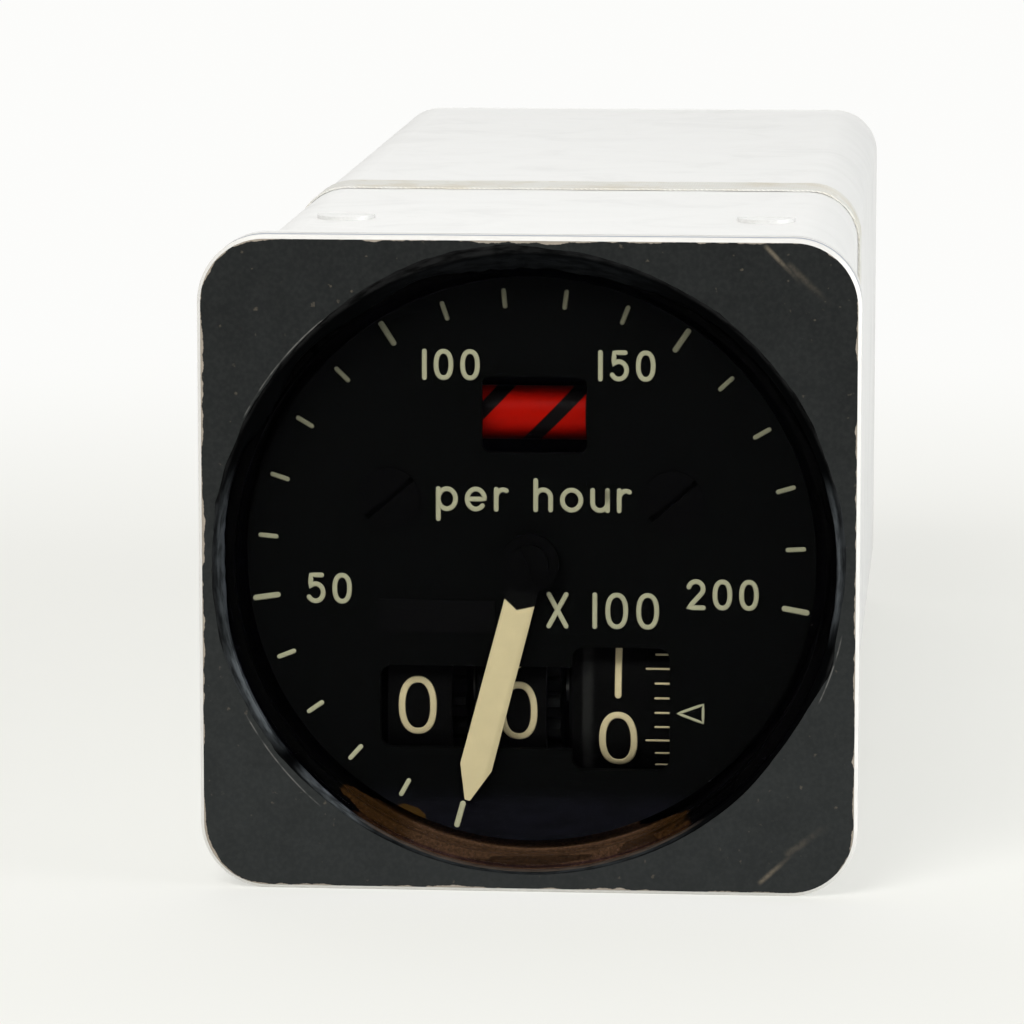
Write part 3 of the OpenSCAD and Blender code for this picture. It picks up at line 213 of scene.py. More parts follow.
class Nodes:
    """The nodes of a material or a world, and short ways to add to them."""

    def __init__(self, owner):
        owner.use_nodes = True
        self.tree = owner.node_tree
        self.tree.nodes.clear()

    def feed(self, socket, value):
        """Gives a socket a signal, a number, a vector, or a colour without its alpha."""
        if isinstance(value, Signal):
            self.tree.links.new(value.socket, socket)
        elif isinstance(value, (int, float)):
            socket.default_value = value
        else:
            socket.default_value = (*value, 1.0)[:len(socket.default_value)]

    def add(self, kind, inputs=None, **settings):
        node = self.tree.nodes.new("ShaderNode" + kind)
        for name, value in settings.items():
            setattr(node, name, value)
        for key, value in (inputs or {}).items():
            self.feed(node.inputs[key], value)
        return node

    def out(self, kind, inputs=None, output=0, **settings):
        """Adds a node and returns one of its outputs as a signal."""
        return Signal(self, self.add(kind, inputs, **settings).outputs[output])

    def calc(self, operation, a, b=0.0):
        return self.out("Math", {0: a, 1: b}, operation=operation)

    def highest(self, values):
        top = 0.0
        for value in values:
            top = self.calc("MAXIMUM", top, value)
        return top

    def reach(self, a, b):
        """The length of a way with two legs that stand square to each other."""
        return self.calc("SQRT", a * a + b * b)

    def step(self, value, start, end, first=0.0, last=1.0):
        """Runs smoothly from first to last as the value runs from start to end."""
        inputs = dict(enumerate((value, start, end, first, last)))
        return self.out("MapRange", inputs, interpolation_type="SMOOTHSTEP")

    def fade(self, value, start, end):
        return self.step(value, start, end, 1.0, 0.0)

    def between(self, value, start, full, last, end):
        """Runs from 0 at the start to 1 at full, and from 1 at last back to 0 at the end."""
        return self.step(value, start, full) * self.fade(value, last, end)

    def mix(self, share, a, b):
        inputs = {"Factor": share, "A": a, "B": b}
        return self.out("Mix", inputs, "Result", data_type="RGBA")

    def blend(self, share, a, b):
        """One shader turning into another as the share runs from 0 to 1."""
        return self.out("MixShader", {0: share, 1: a, 2: b})

    def seen(self):
        """A share that is 1 for what the camera, a gloss or a clear piece sees, and 0 for light."""
        path = self.add("LightPath").outputs
        share = Signal(self, path["Is Camera Ray"])
        for name in ("Is Glossy Ray", "Is Transmission Ray"):
            share = self.calc("MAXIMUM", share, Signal(self, path[name]))
        return share


class Finish(Nodes):
    """A procedural finish: one Principled shader, fed by nodes on Object coordinates."""

    def __init__(self, name, gloss=0.5):
        self.material = bpy.data.materials.new(name)
        super().__init__(self.material)
        self.shader = self.add("BsdfPrincipled", {"Specular IOR Level": gloss})
        self.output = self.add("OutputMaterial")
        self.surface(Signal(self, self.shader.outputs["BSDF"]))
        self.place = self.out("TexCoord", output="Object")
        split = self.add("SeparateXYZ", {0: self.place})
        self.x, self.y, self.z = [Signal(self, output) for output in split.outputs]

    def surface(self, shader):
        self.feed(self.output.inputs["Surface"], shader)

    def colour(self, value):
        self.feed(self.shader.inputs["Base Color"], value)

    def metal(self, share):
        self.feed(self.shader.inputs["Metallic"], share)

    def rough(self, share, least, most):
        self.feed(self.shader.inputs["Roughness"], self.step(share, 0.3, 0.7, least, most))

    def bump(self, height, depth, strength=1.0):
        """Adds a bump, its depth in millimetres, to those already there."""
        node = self.add("Bump", {"Strength": strength, "Distance": depth * MM, "Height": height})
        normal = self.shader.inputs["Normal"]
        if normal.is_linked:
            self.tree.links.new(normal.links[0].from_socket, node.inputs["Normal"])
        self.tree.links.new(node.outputs["Normal"], normal)

    def stretched(self, stretch):
        if stretch == (1, 1, 1):
            return self.place
        return self.out("VectorMath", {0: self.place, 1: stretch}, operation="MULTIPLY")

    def wrapped(self, squeeze):
        """A place measured round the dial: its radius times squeeze, and its way along the aperture."""
        return self.out("CombineXYZ", {0: self.radius() * squeeze, 1: self.clock() * APERTURE_R})

    def noise(self, size, detail=3.0, roughness=0.55, stretch=(1, 1, 1), distortion=0.0, place=None):
        """Noise with lumps of about the size, in millimetres."""
        return self.out("TexNoise", {
            "Vector": place or self.stretched(stretch), "Scale": 1 / (size * MM),
            "Detail": detail, "Roughness": roughness, "Distortion": distortion}, "Fac")

    def wave(self, value, pitch):
        """A sine of the value that repeats every pitch, in millimetres."""
        return self.calc("SINE", value * (2 * math.pi / (pitch * MM)))

    def shade(self, share, base, dark=0.75, light=1.2):
        """The base colour, from darker to lighter as the share runs from 0 to 1."""
        return self.mix(share, scaled(base, dark), [min(1, c) for c in scaled(base, light)])

    def radius(self):
        return self.reach(self.x, self.z)

    def clock(self):
        """Angle round the dial's axis: 0 at the bottom, positive towards its left."""
        return self.calc("ARCTAN2", self.x * -1, self.z * -1)

    def elevation(self, y, z):
        """Angle round an axis along X: 0 at the front, positive upwards."""
        return self.calc("ARCTAN2", self.z - z, y - self.y)

    def sector(self, middle, half, solid, strength=1.0):
        """The strength round a middle angle. It holds for the solid share of the half angle, and fades."""
        away = abs(self.clock() - middle * DEG)
        return self.step(away, half * solid * DEG, half * DEG, strength, 0.0)

    def edge(self, half, corner):
        """Distance outside a rounded square about the Y axis. It is negative inside."""
        u = abs(self.x) - (half - corner)
        v = abs(self.z) - (half - corner)
        outside = self.reach(self.calc("MAXIMUM", u, 0.0), self.calc("MAXIMUM", v, 0.0))
        inside = self.calc("MINIMUM", self.calc("MAXIMUM", u, v), 0.0)
        return outside + inside - corner

    def streak(self, start, end, width):
        """1 along a line between two X and Z places, and fading to 0 at its sides and end."""
        run = Vector(end) - Vector(start)
        way = run.normalized()
        dx = self.x - start[0]
        dz = self.z - start[1]
        along = dx * way.x + dz * way.y
        across = dx * -way.y + dz * way.x
        return self.fade(abs(across), 0.0, width) * self.between(
            along, 0.0, 0.1 * run.length, 0.2 * run.length, run.length)


def browned(f, other, rust):
    """The other colour, with brown painted as light at the foot of the dial's well, where light falls in
    from above. Its ends are shaped as painted shadow edges, and deeper down it is painted brighter against
    the shade.
    """
    turn = f.clock() + (f.noise(1.6) - 0.5) * 0.1
    outer = f.step(f.radius(), APERTURE_R - 0.9 * MM, APERTURE_R - 0.1 * MM, 0.0, 5 * DEG)
    deep = f.step(f.y, BEZEL_BACK_Y, DIAL_Y + 4 * MM, 0.0, 11 * DEG)
    # The brown's ends slant with depth, painted as the edges of a shadow.
    left = f.fade(turn + (outer + deep), 38.5 * DEG, 39.5 * DEG)
    right = f.step(turn - deep * 0.9, -32 * DEG, -31 * DEG)
    ends = f.step(abs(turn), 20 * DEG, 28 * DEG)
    grain = f.step(f.noise(0.3, 4.0, 0.75, (1, 0.7, 1)), 0.32, 0.68)
    golden = (rust[0] * 0.5, rust[1] * 0.42, rust[2] * 0.22)

    def brown(brown_gain, golden_light):
        return f.mix(ends, f.shade(grain, scaled(rust, brown_gain), 0.45, 1.5),
                     f.shade(grain, scaled(golden, golden_light), 0.5, 1.45))

    # Painted light: deeper in the well the brown is made brighter, against the shade that falls there.
    painted_deep_light = f.step(f.y, DIAL_Y - 0.9 * MM, DIAL_Y + 1.4 * MM)
    return f.mix(left * right, other, f.mix(painted_deep_light, brown(1.0, 1.0), brown(2.5, 2.2)))


# Scratches of the bezel's face: start and end in mm, then width in mm and strength.
SCRATCHES = (
    ((21.4, 29.9), (25.2, 26.0), 0.32, 0.8),
    ((23.4, 28.3), (28.0, 24.0), 0.5, 0.3),
    ((21.2, -29.3), (24.8, -26.0), 0.34, 0.8),
    ((23.6, -26.6), (28.2, -23.2), 0.5, 0.3),
)
# Pale arcs round the aperture, painted as highlights along the bead's outer foot: middle and half angle in
# degrees, then radius in mm.
GLINT_ARCS = ((-72, 7, 29.4), (51, 11, 29.6), (129.5, 12.5, 29.4))
WELL_BLACK = (0.0006, 0.0006, 0.0006)


def scratched(f):
    lines = f.highest(
        f.streak(scaled(start, MM), scaled(end, MM), width * MM) * strength
        for start, end, width, strength in SCRATCHES)
    return lines * f.step(f.noise(0.7), 0.3, 0.65, 0.35, 1.0)


def scuffed(f):
    arcs = f.highest(
        f.sector(middle, half, 0.8) * f.fade(abs(f.radius() - ring * MM), 0.02 * MM, 0.09 * MM)
        for middle, half, ring in GLINT_ARCS)
    return arcs * f.step(f.noise(1.6, 2.0), 0.4, 0.6, 0.05, 0.45)


def bezel_paint(colours):
    """Slate paint, chipped along the edge of the face, with bare metal from the chamfer back. The paint is
    darker towards the top as painted shade, with painted highlights round the aperture, a painted shadow
    line on the bare rim and brown painted as light at the foot of the well.
    """
    f = Finish("bezel_paint", 0.02)
    grit, dust, wear_and_glint = (0.16, 0.16, 0.15), (0.16, 0.135, 0.1), (0.24, 0.235, 0.22)
    bare, shadow_line_tone = (0.78, 0.77, 0.74), (0.3, 0.33, 0.4)
    front = f.fade(f.y, FACE_Y + 0.01 * MM, FACE_Y + 0.03 * MM)
    side = 1.0 - front
    well = f.fade(f.radius(), APERTURE_R + 0.02 * MM, APERTURE_R + 0.06 * MM)
    outside = 1.0 - well
    behind = f.step(f.y, GLASS_Y, GLASS_Y + 0.1 * MM)
    bite = f.noise(1.5, 5.0, 0.65) * (0.6 * MM) + f.noise(6.0, 2.0) * (1.1 * MM)
    chipped = f.step(f.edge(BEZEL_HALF, BEZEL_CORNER) + bite, 0.41 * MM, 0.47 * MM)

    mottle = f.noise(3.0, 5.0, 0.6)
    # Painted shade and light: the paint is darker towards the top of the face and lighter towards its
    # bottom.
    paint = f.mix(f.step(f.z, -26 * MM, 28 * MM), f.shade(mottle, colours.paint, 0.86, 1.3),
                  f.shade(mottle, colours.paint, 0.52, 0.88))
    paint = f.mix(f.step(f.noise(0.45, 3.0, 0.6), 0.35, 0.7, 0.0, 0.035), paint, grit)
    specks = f.step(f.noise(0.8, 2.0), 0.69, 0.78, 0.0, 0.35)
    paint = f.mix(f.calc("MAXIMUM", scratched(f), specks), paint, dust)
    # Painted highlights: pale arcs round the aperture.
    paint = f.mix(scuffed(f), paint, wear_and_glint)
    primer = f.shade(f.noise(1.5, 4.0), colours.primer, 0.8, 1.25)

    rim = f.shade(f.noise(2.0, 4.0, 0.6, (1, 6, 1)), bare, 0.88, 1.1)
    # Painted shadow: a grey-blue line along the bare rim where the bezel meets the case, strongest at the
    # top.
    line = f.between(f.y, FACE_Y + 1.0 * MM, FACE_Y + 1.2 * MM, FACE_Y + 1.9 * MM, FACE_Y + 2.1 * MM)
    rim = f.mix(line * f.step(f.z, 24 * MM, 27 * MM, 0.2, 0.9), rim, shadow_line_tone)

    shown = f.mix(chipped * front, paint, primer)
    shown = f.mix(side * outside, shown, rim)
    # Inside the aperture: black, with brown painted as light at the foot of the well.
    f.colour(f.mix(well, shown, f.mix(behind, WELL_BLACK, browned(f, WELL_BLACK, colours.rust))))
    f.metal(f.calc("MAXIMUM", chipped, side) * outside * 0.25)
    f.rough(mottle, 0.5, 0.62)
    f.bump(1.0 - chipped * front, 0.05)
    f.bump(f.noise(0.35, 2.0), 0.006, 0.5)
    return f.material


def case_metal(colours):
    """Satin metal, smudged, spotted and finely brushed along the case."""
    f = Finish("case_metal", 0.4)
    grain = f.noise(0.5, 4.0, 0.6, (4, 0.25, 4))
    smudge = f.noise(11.0, 4.0, 0.6, distortion=0.6)
    spot = f.step(f.noise(2.2), 0.68, 0.74)
    tone = f.mix(f.step(smudge, 0.5, 0.78), colours.case, scaled(colours.case, 0.93))
    tone = f.mix(spot * 0.12, tone, (0.5, 0.49, 0.45))
    f.colour(f.mix(grain * 0.1, tone, (0.7, 0.7, 0.7)))
    f.metal(0.3)
    f.rough(smudge, 0.38, 0.55)
    f.bump(grain, 0.004, 0.5)
    f.bump(f.fade(f.noise(1.6, 5.0, 0.6, (5, 1, 5)), 0.62, 0.7), 0.01, 0.4)
    return f.material


def turned_metal(name, tone, dull=0.3, bright=0.42, stretch=(1, 1, 1), metallic=1.0, stain=0.25):
    """Machined metal with fine tool lines and a little tarnish."""
    f = Finish(name)
    lines = f.noise(0.3, 3.0, 0.6, stretch)
    tarnish = f.noise(3.5, 4.0, 0.6)
    base = f.shade(lines, tone, 0.86, 1.1)
    f.colour(f.mix(f.step(tarnish, 0.5, 0.75, 0.0, stain), base, scaled(tone, 0.5)))
    f.metal(metallic)
    f.rough(tarnish, dull, bright)
    f.bump(lines, 0.004, 0.6)
    return f.material


def satin_paint(name, tone, dull=0.45, bright=0.6, peel=0.6, wear_and_glint=(0.35, 0.33, 0.3), gloss=0.35):
    """Sprayed paint with a fine skin and small flecks of wear."""
    f = Finish(name, gloss)
    mottle = f.noise(4.0, 4.0, 0.6)
    flecks = f.step(f.noise(0.8, 3.0, 0.7), 0.71, 0.76, 0.0, 0.5)
    f.colour(f.mix(flecks, f.shade(mottle, tone, 0.8, 1.2), wear_and_glint))
    f.rough(mottle, dull, bright)
    f.bump(f.noise(peel), 0.008, 0.5)
    return f.material


def moulding(name, tone, dull=0.4, bright=0.55):
    """Moulded or cast plastic and rubber, with a fine matt skin."""
    f = Finish(name, 0.3)
    cloud = f.noise(2.5, 4.0)
    f.colour(f.shade(cloud, tone, 0.75, 1.3))
    f.rough(cloud, dull, bright)
    f.bump(f.noise(0.25, 2.0), 0.008, 0.5)
    return f.material


def ring_paint(colours):
    """Dead black of the ring between the glass and the dial, with brown painted as light at its bottom."""
    f = Finish("ring_paint", 0.01)
    f.colour(browned(f, f.shade(f.noise(1.5), WELL_BLACK), colours.rust))
    f.rough(f.noise(1.2), 0.7, 0.9)
    f.bump(f.noise(0.4, 4.0), 0.02, 0.5)
    return f.material


def dial_paint(colours):
    """Matt black with specks, a painted violet reflection at the bottom and a brown spot at the edge painted
    as light.
    """
    f = Finish("dial_paint", 0.02)
    blue, brown = (0.0055, 0.0055, 0.0085), (0.048, 0.024, 0.005)
    black, grey = (0.0002, 0.0002, 0.0002), (0.03, 0.03, 0.028)
    cloud = f.noise(5.0, 5.0, 0.6)
    # Painted reflection: a faint violet tint low on the dial.
    blue_reflection = f.step(f.z, -21.0 * MM, -23.6 * MM)
    blue_reflection *= f.step(f.noise(2.5, 4.0, 0.6, (1, 1, 3)), 0.25, 0.7, 0.4, 1.0)
    base = f.mix(blue_reflection, f.shade(cloud, colours.dial, 0.8, 1.25), blue)
    # Painted light: a brown spot at the dial's edge, where light falls in at the foot of the well.
    across = (f.clock() - 25 * DEG) / (3.4 * DEG)
    inwards = (DIAL_R + 0.1 * MM - f.radius()) / (0.74 * MM)
    varnish_and_lit_spot = f.fade(across * across + inwards * inwards + f.noise(0.9), 1.3, 1.5)
    base = f.mix(varnish_and_lit_spot, base, brown)
    seat = abs(f.reach(abs(f.x) - SCREW_X, f.z - SCREW_Z) - SCREW_SEAT_R)
    base = f.mix(f.step(seat, 0.05 * MM, 0.2 * MM, 0.7, 0.0), base, black)
    f.colour(f.mix(f.step(f.noise(0.4, 2.0), 0.72, 0.8, 0.0, 0.35), base, grey))
    f.rough(cloud, 0.6, 0.75)
    f.bump(f.noise(0.22), 0.01, 0.5)
    return f.material


def cream_paint(name, tone, top_shade=0.95):
    """Filled lettering: aged cream paint, darker from the dial's bottom to its top as painted shade."""
    f = Finish(name, 0.2)
    mottle = f.noise(0.5, 4.0, 0.65)
    # Painted shade: the cream darkens towards the top, where the bezel's rim shades the dial.
    upwards = f.step(f.z, -24 * MM, 26 * MM)
    f.colour(f.mix(upwards, f.shade(mottle, tone, 0.85, 1.12), scaled(tone, top_shade)))
    f.rough(mottle, 0.55, 0.75)
    f.bump(mottle, 0.008, 0.6)
    return f.material


def pointer_paint(colours):
    """Cream on the front of the pointer's blade, grimy at its sides. The rest is black."""
    f = Finish("pointer_paint", 0.05)
    sine, cosine = math.sin(ZERO_ANGLE), math.cos(ZERO_ANGLE)
    along = f.x * sine + f.z * cosine
    aside = abs(f.x * cosine + f.z * -sine)
    blade = f.step(along + aside * 0.53, 4.55 * MM, 4.7 * MM)
    front = f.fade(f.y, DIAL_Y - 0.75 * MM, DIAL_Y - 0.7 * MM)
    mottle = f.noise(1.3, 5.0, 0.6)
    grime = f.step(aside, 1.05 * MM, 1.48 * MM, 0.0, 0.35)
    paint = f.mix(grime, f.shade(mottle, colours.pointer, 0.88, 1.08), scaled(colours.pointer, 0.6))
    f.colour(f.mix(blade * front, (0.002, 0.002, 0.002), paint))
    f.rough(mottle, 0.5, 0.65)
    f.bump(f.noise(0.3), 0.006, 0.5)
    return f.material


def flag_paint(colours):
    """Red with slanting black stripes on the front half of the flag's drum, darker low down as painted
    shade, and black elsewhere.
    """
    f = Finish("flag_paint", 0.02)
    slope, shift, pitch = 0.98, 2.14 * MM, 7.15 * MM
    turn = f.elevation(FLAG_Y, FLAG_Z)
    share = f.calc("PINGPONG", (f.x - shift - (f.z - FLAG_Z) * slope) / pitch, 0.5)
    stripe = f.fade(share, 0.112, 0.134)
    back = f.step(abs(turn), 88 * DEG, 91 * DEG)
    end = f.step(f.x, 4.86 * MM, 4.96 * MM)
    mottle = f.noise(0.8, 4.0)
    red = f.shade(mottle, colours.flag, 0.82, 1.15)
    # Painted shade: the red darkens where the drum turns down, away from the light.
    red = f.mix(f.step(turn, -14 * DEG, -60 * DEG), red, scaled(colours.flag, 0.25))
    f.colour(f.mix(f.highest((stripe, back, end)), red, (0.004, 0.0034, 0.0034)))
    f.rough(mottle, 0.32, 0.45)
    f.bump(f.noise(0.3), 0.006, 0.5)
    return f.material


def drum_plastic():
    """Matt black, paler on the gears left of the units drum, with a painted highlight on a band of that
    drum.
    """
    f = Finish("drum", 0.03)
    black, gear_grey, wear_and_glint = (0.0013, 0.0013, 0.0012), (0.006, 0.0064, 0.0062), (0.014, 0.014, 0.013)
    mottle = f.noise(1.6, 4.0)
    gears = f.between(f.x, 1.25 * MM, 1.35 * MM, 3.5 * MM, 3.6 * MM)
    # Painted highlight: a paler band down the units drum, where its rim catches the light.
    band = f.between(f.x, 4.5 * MM, 4.9 * MM, 5.3 * MM, 5.9 * MM)
    base = f.mix(gears, f.shade(mottle, black, 0.7, 1.3), gear_grey)
    f.colour(f.mix(band * f.step(mottle, 0.3, 0.6, 0.5, 1.0), base, wear_and_glint))
    f.rough(mottle, 0.45, 0.6)
    f.bump(f.noise(0.25), 0.008, 0.5)
    return f.material


def clear_glass():
    """Bloomed flat glass: the light passes, and a faint violet reflection stays."""
    f = Finish("glass")
    clear = f.out("BsdfTransparent", {"Color": (0.97, 0.975, 0.97)})
    gloss = f.out("BsdfGlossy", {
        "Color": f.mix(f.noise(9.0), (0.5, 0.5, 0.9), (0.68, 0.62, 0.85)),
        "Roughness": f.step(f.noise(5.0, 4.0), 0.4, 0.75, 0.01, 0.05)})
    f.surface(f.blend(f.out("Fresnel", {"IOR": 1.05}), clear, gloss))
    f.tree.nodes.remove(f.shader)
    return f.material


# Painted reflections on the sealant, pale where its slopes would mirror the room: middle and half angle in
# degrees, then strength.
BEAD_REFLECTIONS = ((39, 11, 1.0), (65, 14, 1.3), (88, 22, 0.5), (-92, 17, 0.8), (0, 40, 0.3),
         (180, 34, 0.05), (-180, 32, 0.05))


def sealant_skin(colours):
    """Black sealant with painted reflections in patches, dusty at its outer foot, and with a painted
    highlight near the aperture's edge at the bottom.
    """
    f = Finish("sealant", 0.006)
    bead_reflection_tone, lit_fringe_tone = (0.075, 0.084, 0.09), (0.052, 0.04, 0.031)
    ripple = f.noise(1.4, 3.0, 0.5)
    patches = f.noise(2.2, 4.0, 0.6, place=f.wrapped(6))
    beyond = f.radius() - APERTURE_R
    base = f.shade(f.noise(2.5), colours.sealant, 0.4, 1.6)
    dusty = f.mix(f.step(patches, 0.35, 0.65), (0.0025, 0.0026, 0.0026), (0.0105, 0.0108, 0.0108))
    base = f.mix(f.step(beyond, 0.5 * MM, 0.85 * MM), base, dusty)
    # Painted reflection: pale blue-grey patches on the bead's slopes.
    bead_reflection = f.highest(f.sector(middle, half, 0.4, strength) for middle, half, strength in BEAD_REFLECTIONS)
    bead_reflection *= f.step(patches, 0.34, 0.64, 0.3, 1.0)
    bead_reflection *= f.step(beyond, 0.25 * MM, 0.6 * MM, 1.0, 0.3)
    base = f.mix(bead_reflection, base, bead_reflection_tone)
    # Painted highlight: a thin pale brownish line on the bead near the aperture's edge, at the bottom.
    lit_fringe = f.fade(abs(f.clock()), 28 * DEG, 36 * DEG) * f.fade(beyond, 0.02 * MM, 0.16 * MM)
    f.colour(f.mix(lit_fringe, base, f.shade(patches, lit_fringe_tone, 0.5, 1.4)))
    f.rough(ripple, 0.3, 0.45)
    f.bump(ripple, 0.03, 0.5)
    f.bump(f.noise(0.35), 0.01, 0.5)
    return f.material


def woven_tape(colours):
    """Pale tape with a fine weave, stained and spotted by age."""
    f = Finish("tape", 0.2)
    weave = f.wave(f.y, 0.5) * f.wave(f.x + f.z, 0.5)
    stain = f.step(f.noise(7.0, 4.0, 0.65), 0.42, 0.72)
    spots = f.step(f.noise(1.8), 0.62, 0.74, 0.0, 0.4)
    tone = f.mix(stain * 0.6, f.shade(weave, colours.tape, 0.95, 1.08), (0.66, 0.6, 0.48))
    f.colour(f.mix(spots, tone, (0.56, 0.49, 0.37)))
    f.rough(stain, 0.7, 0.85)
    f.bump(weave, 0.03, 0.5)
    return f.material


def fibre_card():
    """Green woven card with coppery tracks."""
    f = Finish("card", 0.4)
    weave = f.wave(f.x, 0.9) * f.wave(f.z, 0.9)
    tracks = f.step(f.noise(2.4, 0.0, 0.5, (1, 1, 0.15)), 0.56, 0.6)
    f.colour(f.mix(tracks, f.shade(weave, (0.09, 0.12, 0.035)), (0.3, 0.19, 0.06)))
    f.rough(tracks, 0.35, 0.5)
    f.bump(tracks, 0.03, 0.5)
    return f.material


def coil_winding():
    """Turns of varnished copper wire."""
    f = Finish("coil_wire")
    turns = f.wave(f.x, 0.28)
    varnish_and_lit_spot = f.noise(1.6)
    f.colour(f.mix(f.step(turns, -1.0, 0.2), (0.1, 0.03, 0.01), f.shade(varnish_and_lit_spot, (0.5, 0.2, 0.07))))
    f.rough(varnish_and_lit_spot, 0.25, 0.4)
    f.bump(turns, 0.08, 0.7)
    return f.material


# The settings of the finishes that are made alike, in the order of their makers' arguments.
TURNED = {
    "steel": ((0.55, 0.55, 0.53), 0.28, 0.42, (1, 5, 1)),
    "plate_metal": ((0.8, 0.8, 0.78), 0.36, 0.5, (6, 1, 1), 0.7),
    "connector_metal": ((0.4, 0.41, 0.37), 0.42, 0.58, (1, 4, 1), 0.7),
    "gold": ((0.8, 0.58, 0.24), 0.22, 0.34, (1, 3, 1)),
    "frame_metal": ((0.72, 0.72, 0.7), 0.38, 0.52, (5, 1, 1), 0.8),
    "brass": ((0.72, 0.52, 0.22), 0.28, 0.45, (1, 4, 1)),
    "motor_metal": ((0.5, 0.51, 0.52), 0.26, 0.4, (1, 6, 1)),
    "can_metal": ((0.62, 0.63, 0.64), 0.25, 0.38, (1, 2, 1)),
    "case_screw": ((0.8, 0.8, 0.785), 0.45, 0.55, (1, 1, 1), 0.2, 0.1),
}
SPRAYED = {
    "motor_paint": ((0.1, 0.11, 0.11),),
    "transformer": ((0.13, 0.13, 0.14), 0.4, 0.55),
    "black_screw": ((0.0012, 0.0012, 0.0012), 0.45, 0.6, 0.4, (0.01, 0.01, 0.01), 0.025),
    "plate_black": ((0.0019, 0.0019, 0.0019), 0.45, 0.6, 0.5, (0.01, 0.01, 0.01), 0.03),
    "frame_black": ((0.003, 0.003, 0.003), 0.6, 0.75, 0.6, (0.35, 0.33, 0.3), 0.04),
}
MOULDED = {
    "gasket_rubber": ((0.02, 0.02, 0.02), 0.6, 0.75),
    "connector_insulator": ((0.03, 0.034, 0.034),),
    "pinion_plastic": ((0.62, 0.58, 0.46),),
    "wire": ((0.6, 0.57, 0.5), 0.6, 0.75),
}
# Nodes that wear another finish than that of their slot.
DRESSED = {"chassis_screws": "case_screw", "front_frame": "frame_black"}
PALETTE = {}


def finishes(colours):
    """The finishes of the record's material slots and of the script's own pieces, by name."""
    made = {
        "bezel_paint": bezel_paint(colours),
        "case_metal": case_metal(colours),
        "dial_paint": dial_paint(colours),
        "ring_paint": ring_paint(colours),
        "pointer_paint": pointer_paint(colours),
        "flag_paint": flag_paint(colours),
        "drum": drum_plastic(),
        "glass": clear_glass(),
        "sealant": sealant_skin(colours),
        "band": woven_tape(colours),
        "card": fibre_card(),
        "coil_wire": coil_winding(),
        "lettering": cream_paint("lettering", colours.lettering),
        # The marks get the deepest painted shade towards the top.
        "marks": cream_paint("marks", scaled(colours.lettering, 1.2), 0.27),
        "drum_lettering": cream_paint("drum_lettering", scaled(colours.pointer, 0.9)),
    }
    for maker, table in ((turned_metal, TURNED), (satin_paint, SPRAYED), (moulding, MOULDED)):
        for name, settings in table.items():
            made[name] = maker(name, *settings)
    return made


def arc(x, z, rx, rz, start, end, fullness=2.0):
    """Points along an oval, its angles in degrees anticlockwise from the right. Fullness 2 is an ellipse."""
    steps = max(6, round(abs(end - start) / 9))
    points = []
    for i in range(steps + 1):
        turn = math.radians(start + (end - start) * i / steps)
        c, s = math.cos(turn), math.sin(turn)
        points.append((x + rx * math.copysign(abs(c) ** (2 / fullness), c),
                       z + rz * math.copysign(abs(s) ** (2 / fullness), s)))
    return points


def oval(x, z, rx, rz, fullness=2.0):
    return arc(x, z, rx, rz, 90, 450, fullness)


# Each glyph's width and strokes, with the height of a figure or of a small letter as 1.
SIX = [oval(0.28, 0.3, 0.28, 0.3), arc(0.52, 0.3, 0.52, 0.7, 108, 180)]
NINE = [[(0.56 - x, 1 - z) for x, z in stroke] for stroke in SIX]
FIGURES = {
    "0": (0.56, [oval(0.28, 0.5, 0.28, 0.5, 2.3)]),
    "1": (0.0, [[(0, 0), (0, 1)]]),
    "2": (0.56, [arc(0.28, 0.72, 0.27, 0.28, 165, -38) + [(0, 0), (0.56, 0)]]),
    "3": (0.56, [arc(0.26, 0.76, 0.24, 0.24, 150, -90) + arc(0.26, 0.26, 0.3, 0.26, 90, -150)]),
    "4": (0.58, [[(0.42, 0), (0.42, 1), (0, 0.27), (0.58, 0.27)]]),
    "5": (0.54, [[(0.48, 1), (0.08, 1), (0.05, 0.55)] + arc(0.25, 0.33, 0.29, 0.33, 122, -148)]),
    "6": (0.56, SIX),
    "7": (0.54, [[(0, 1), (0.54, 1), (0.18, 0)]]),
    "8": (0.56, [oval(0.28, 0.76, 0.23, 0.24), oval(0.28, 0.26, 0.28, 0.26)]),
    "9": (0.56, NINE),
    "X": (0.54, [[(0, 0), (0.54, 1)], [(0, 1), (0.54, 0)]]),
}
SMALL = {
    "p": (0.86, [[(0, -0.5), (0, 1)], oval(0.43, 0.5, 0.43, 0.5)]),
    "e": (0.86, [[(0.02, 0.5), (0.86, 0.5)] + arc(0.43, 0.5, 0.43, 0.5, 8, 318)]),
    "r": (0.5, [[(0, 0), (0, 1)], [(0, 0.58)] + arc(0.34, 0.58, 0.34, 0.4, 170, 62)]),
    "h": (0.74, [[(0, 0), (0, 1.46)], arc(0.37, 0.62, 0.37, 0.38, 180, 0) + [(0.74, 0)]]),
    "o": (0.92, [oval(0.46, 0.5, 0.46, 0.5)]),
    "u": (0.74, [[(0, 1), (0, 0.38)] + arc(0.37, 0.38, 0.37, 0.38, 180, 360) + [(0.74, 1)],
                 [(0.74, 1), (0.74, 0)]]),
    " ": (0.3, []),
}


def written(text, glyphs, left, base, height, stroke, gap=0.0, wide=1.0):
    """Strokes of a line of text. Left, base, height and gap are measured over the strokes' outsides."""
    tall = height - stroke
    x = left + stroke / 2
    strokes = []
    for letter in text:
        width, lines = glyphs[letter]
        for line in lines:
            strokes.append([(x + px * tall * wide, base + stroke / 2 + pz * tall) for px, pz in line])
        x += width * tall * wide + stroke + gap
    return strokes


def text_width(text, glyphs, height, stroke, gap=0.0, wide=1.0):
    return sum(glyphs[c][0] * (height - stroke) * wide + stroke + gap for c in text) - gap


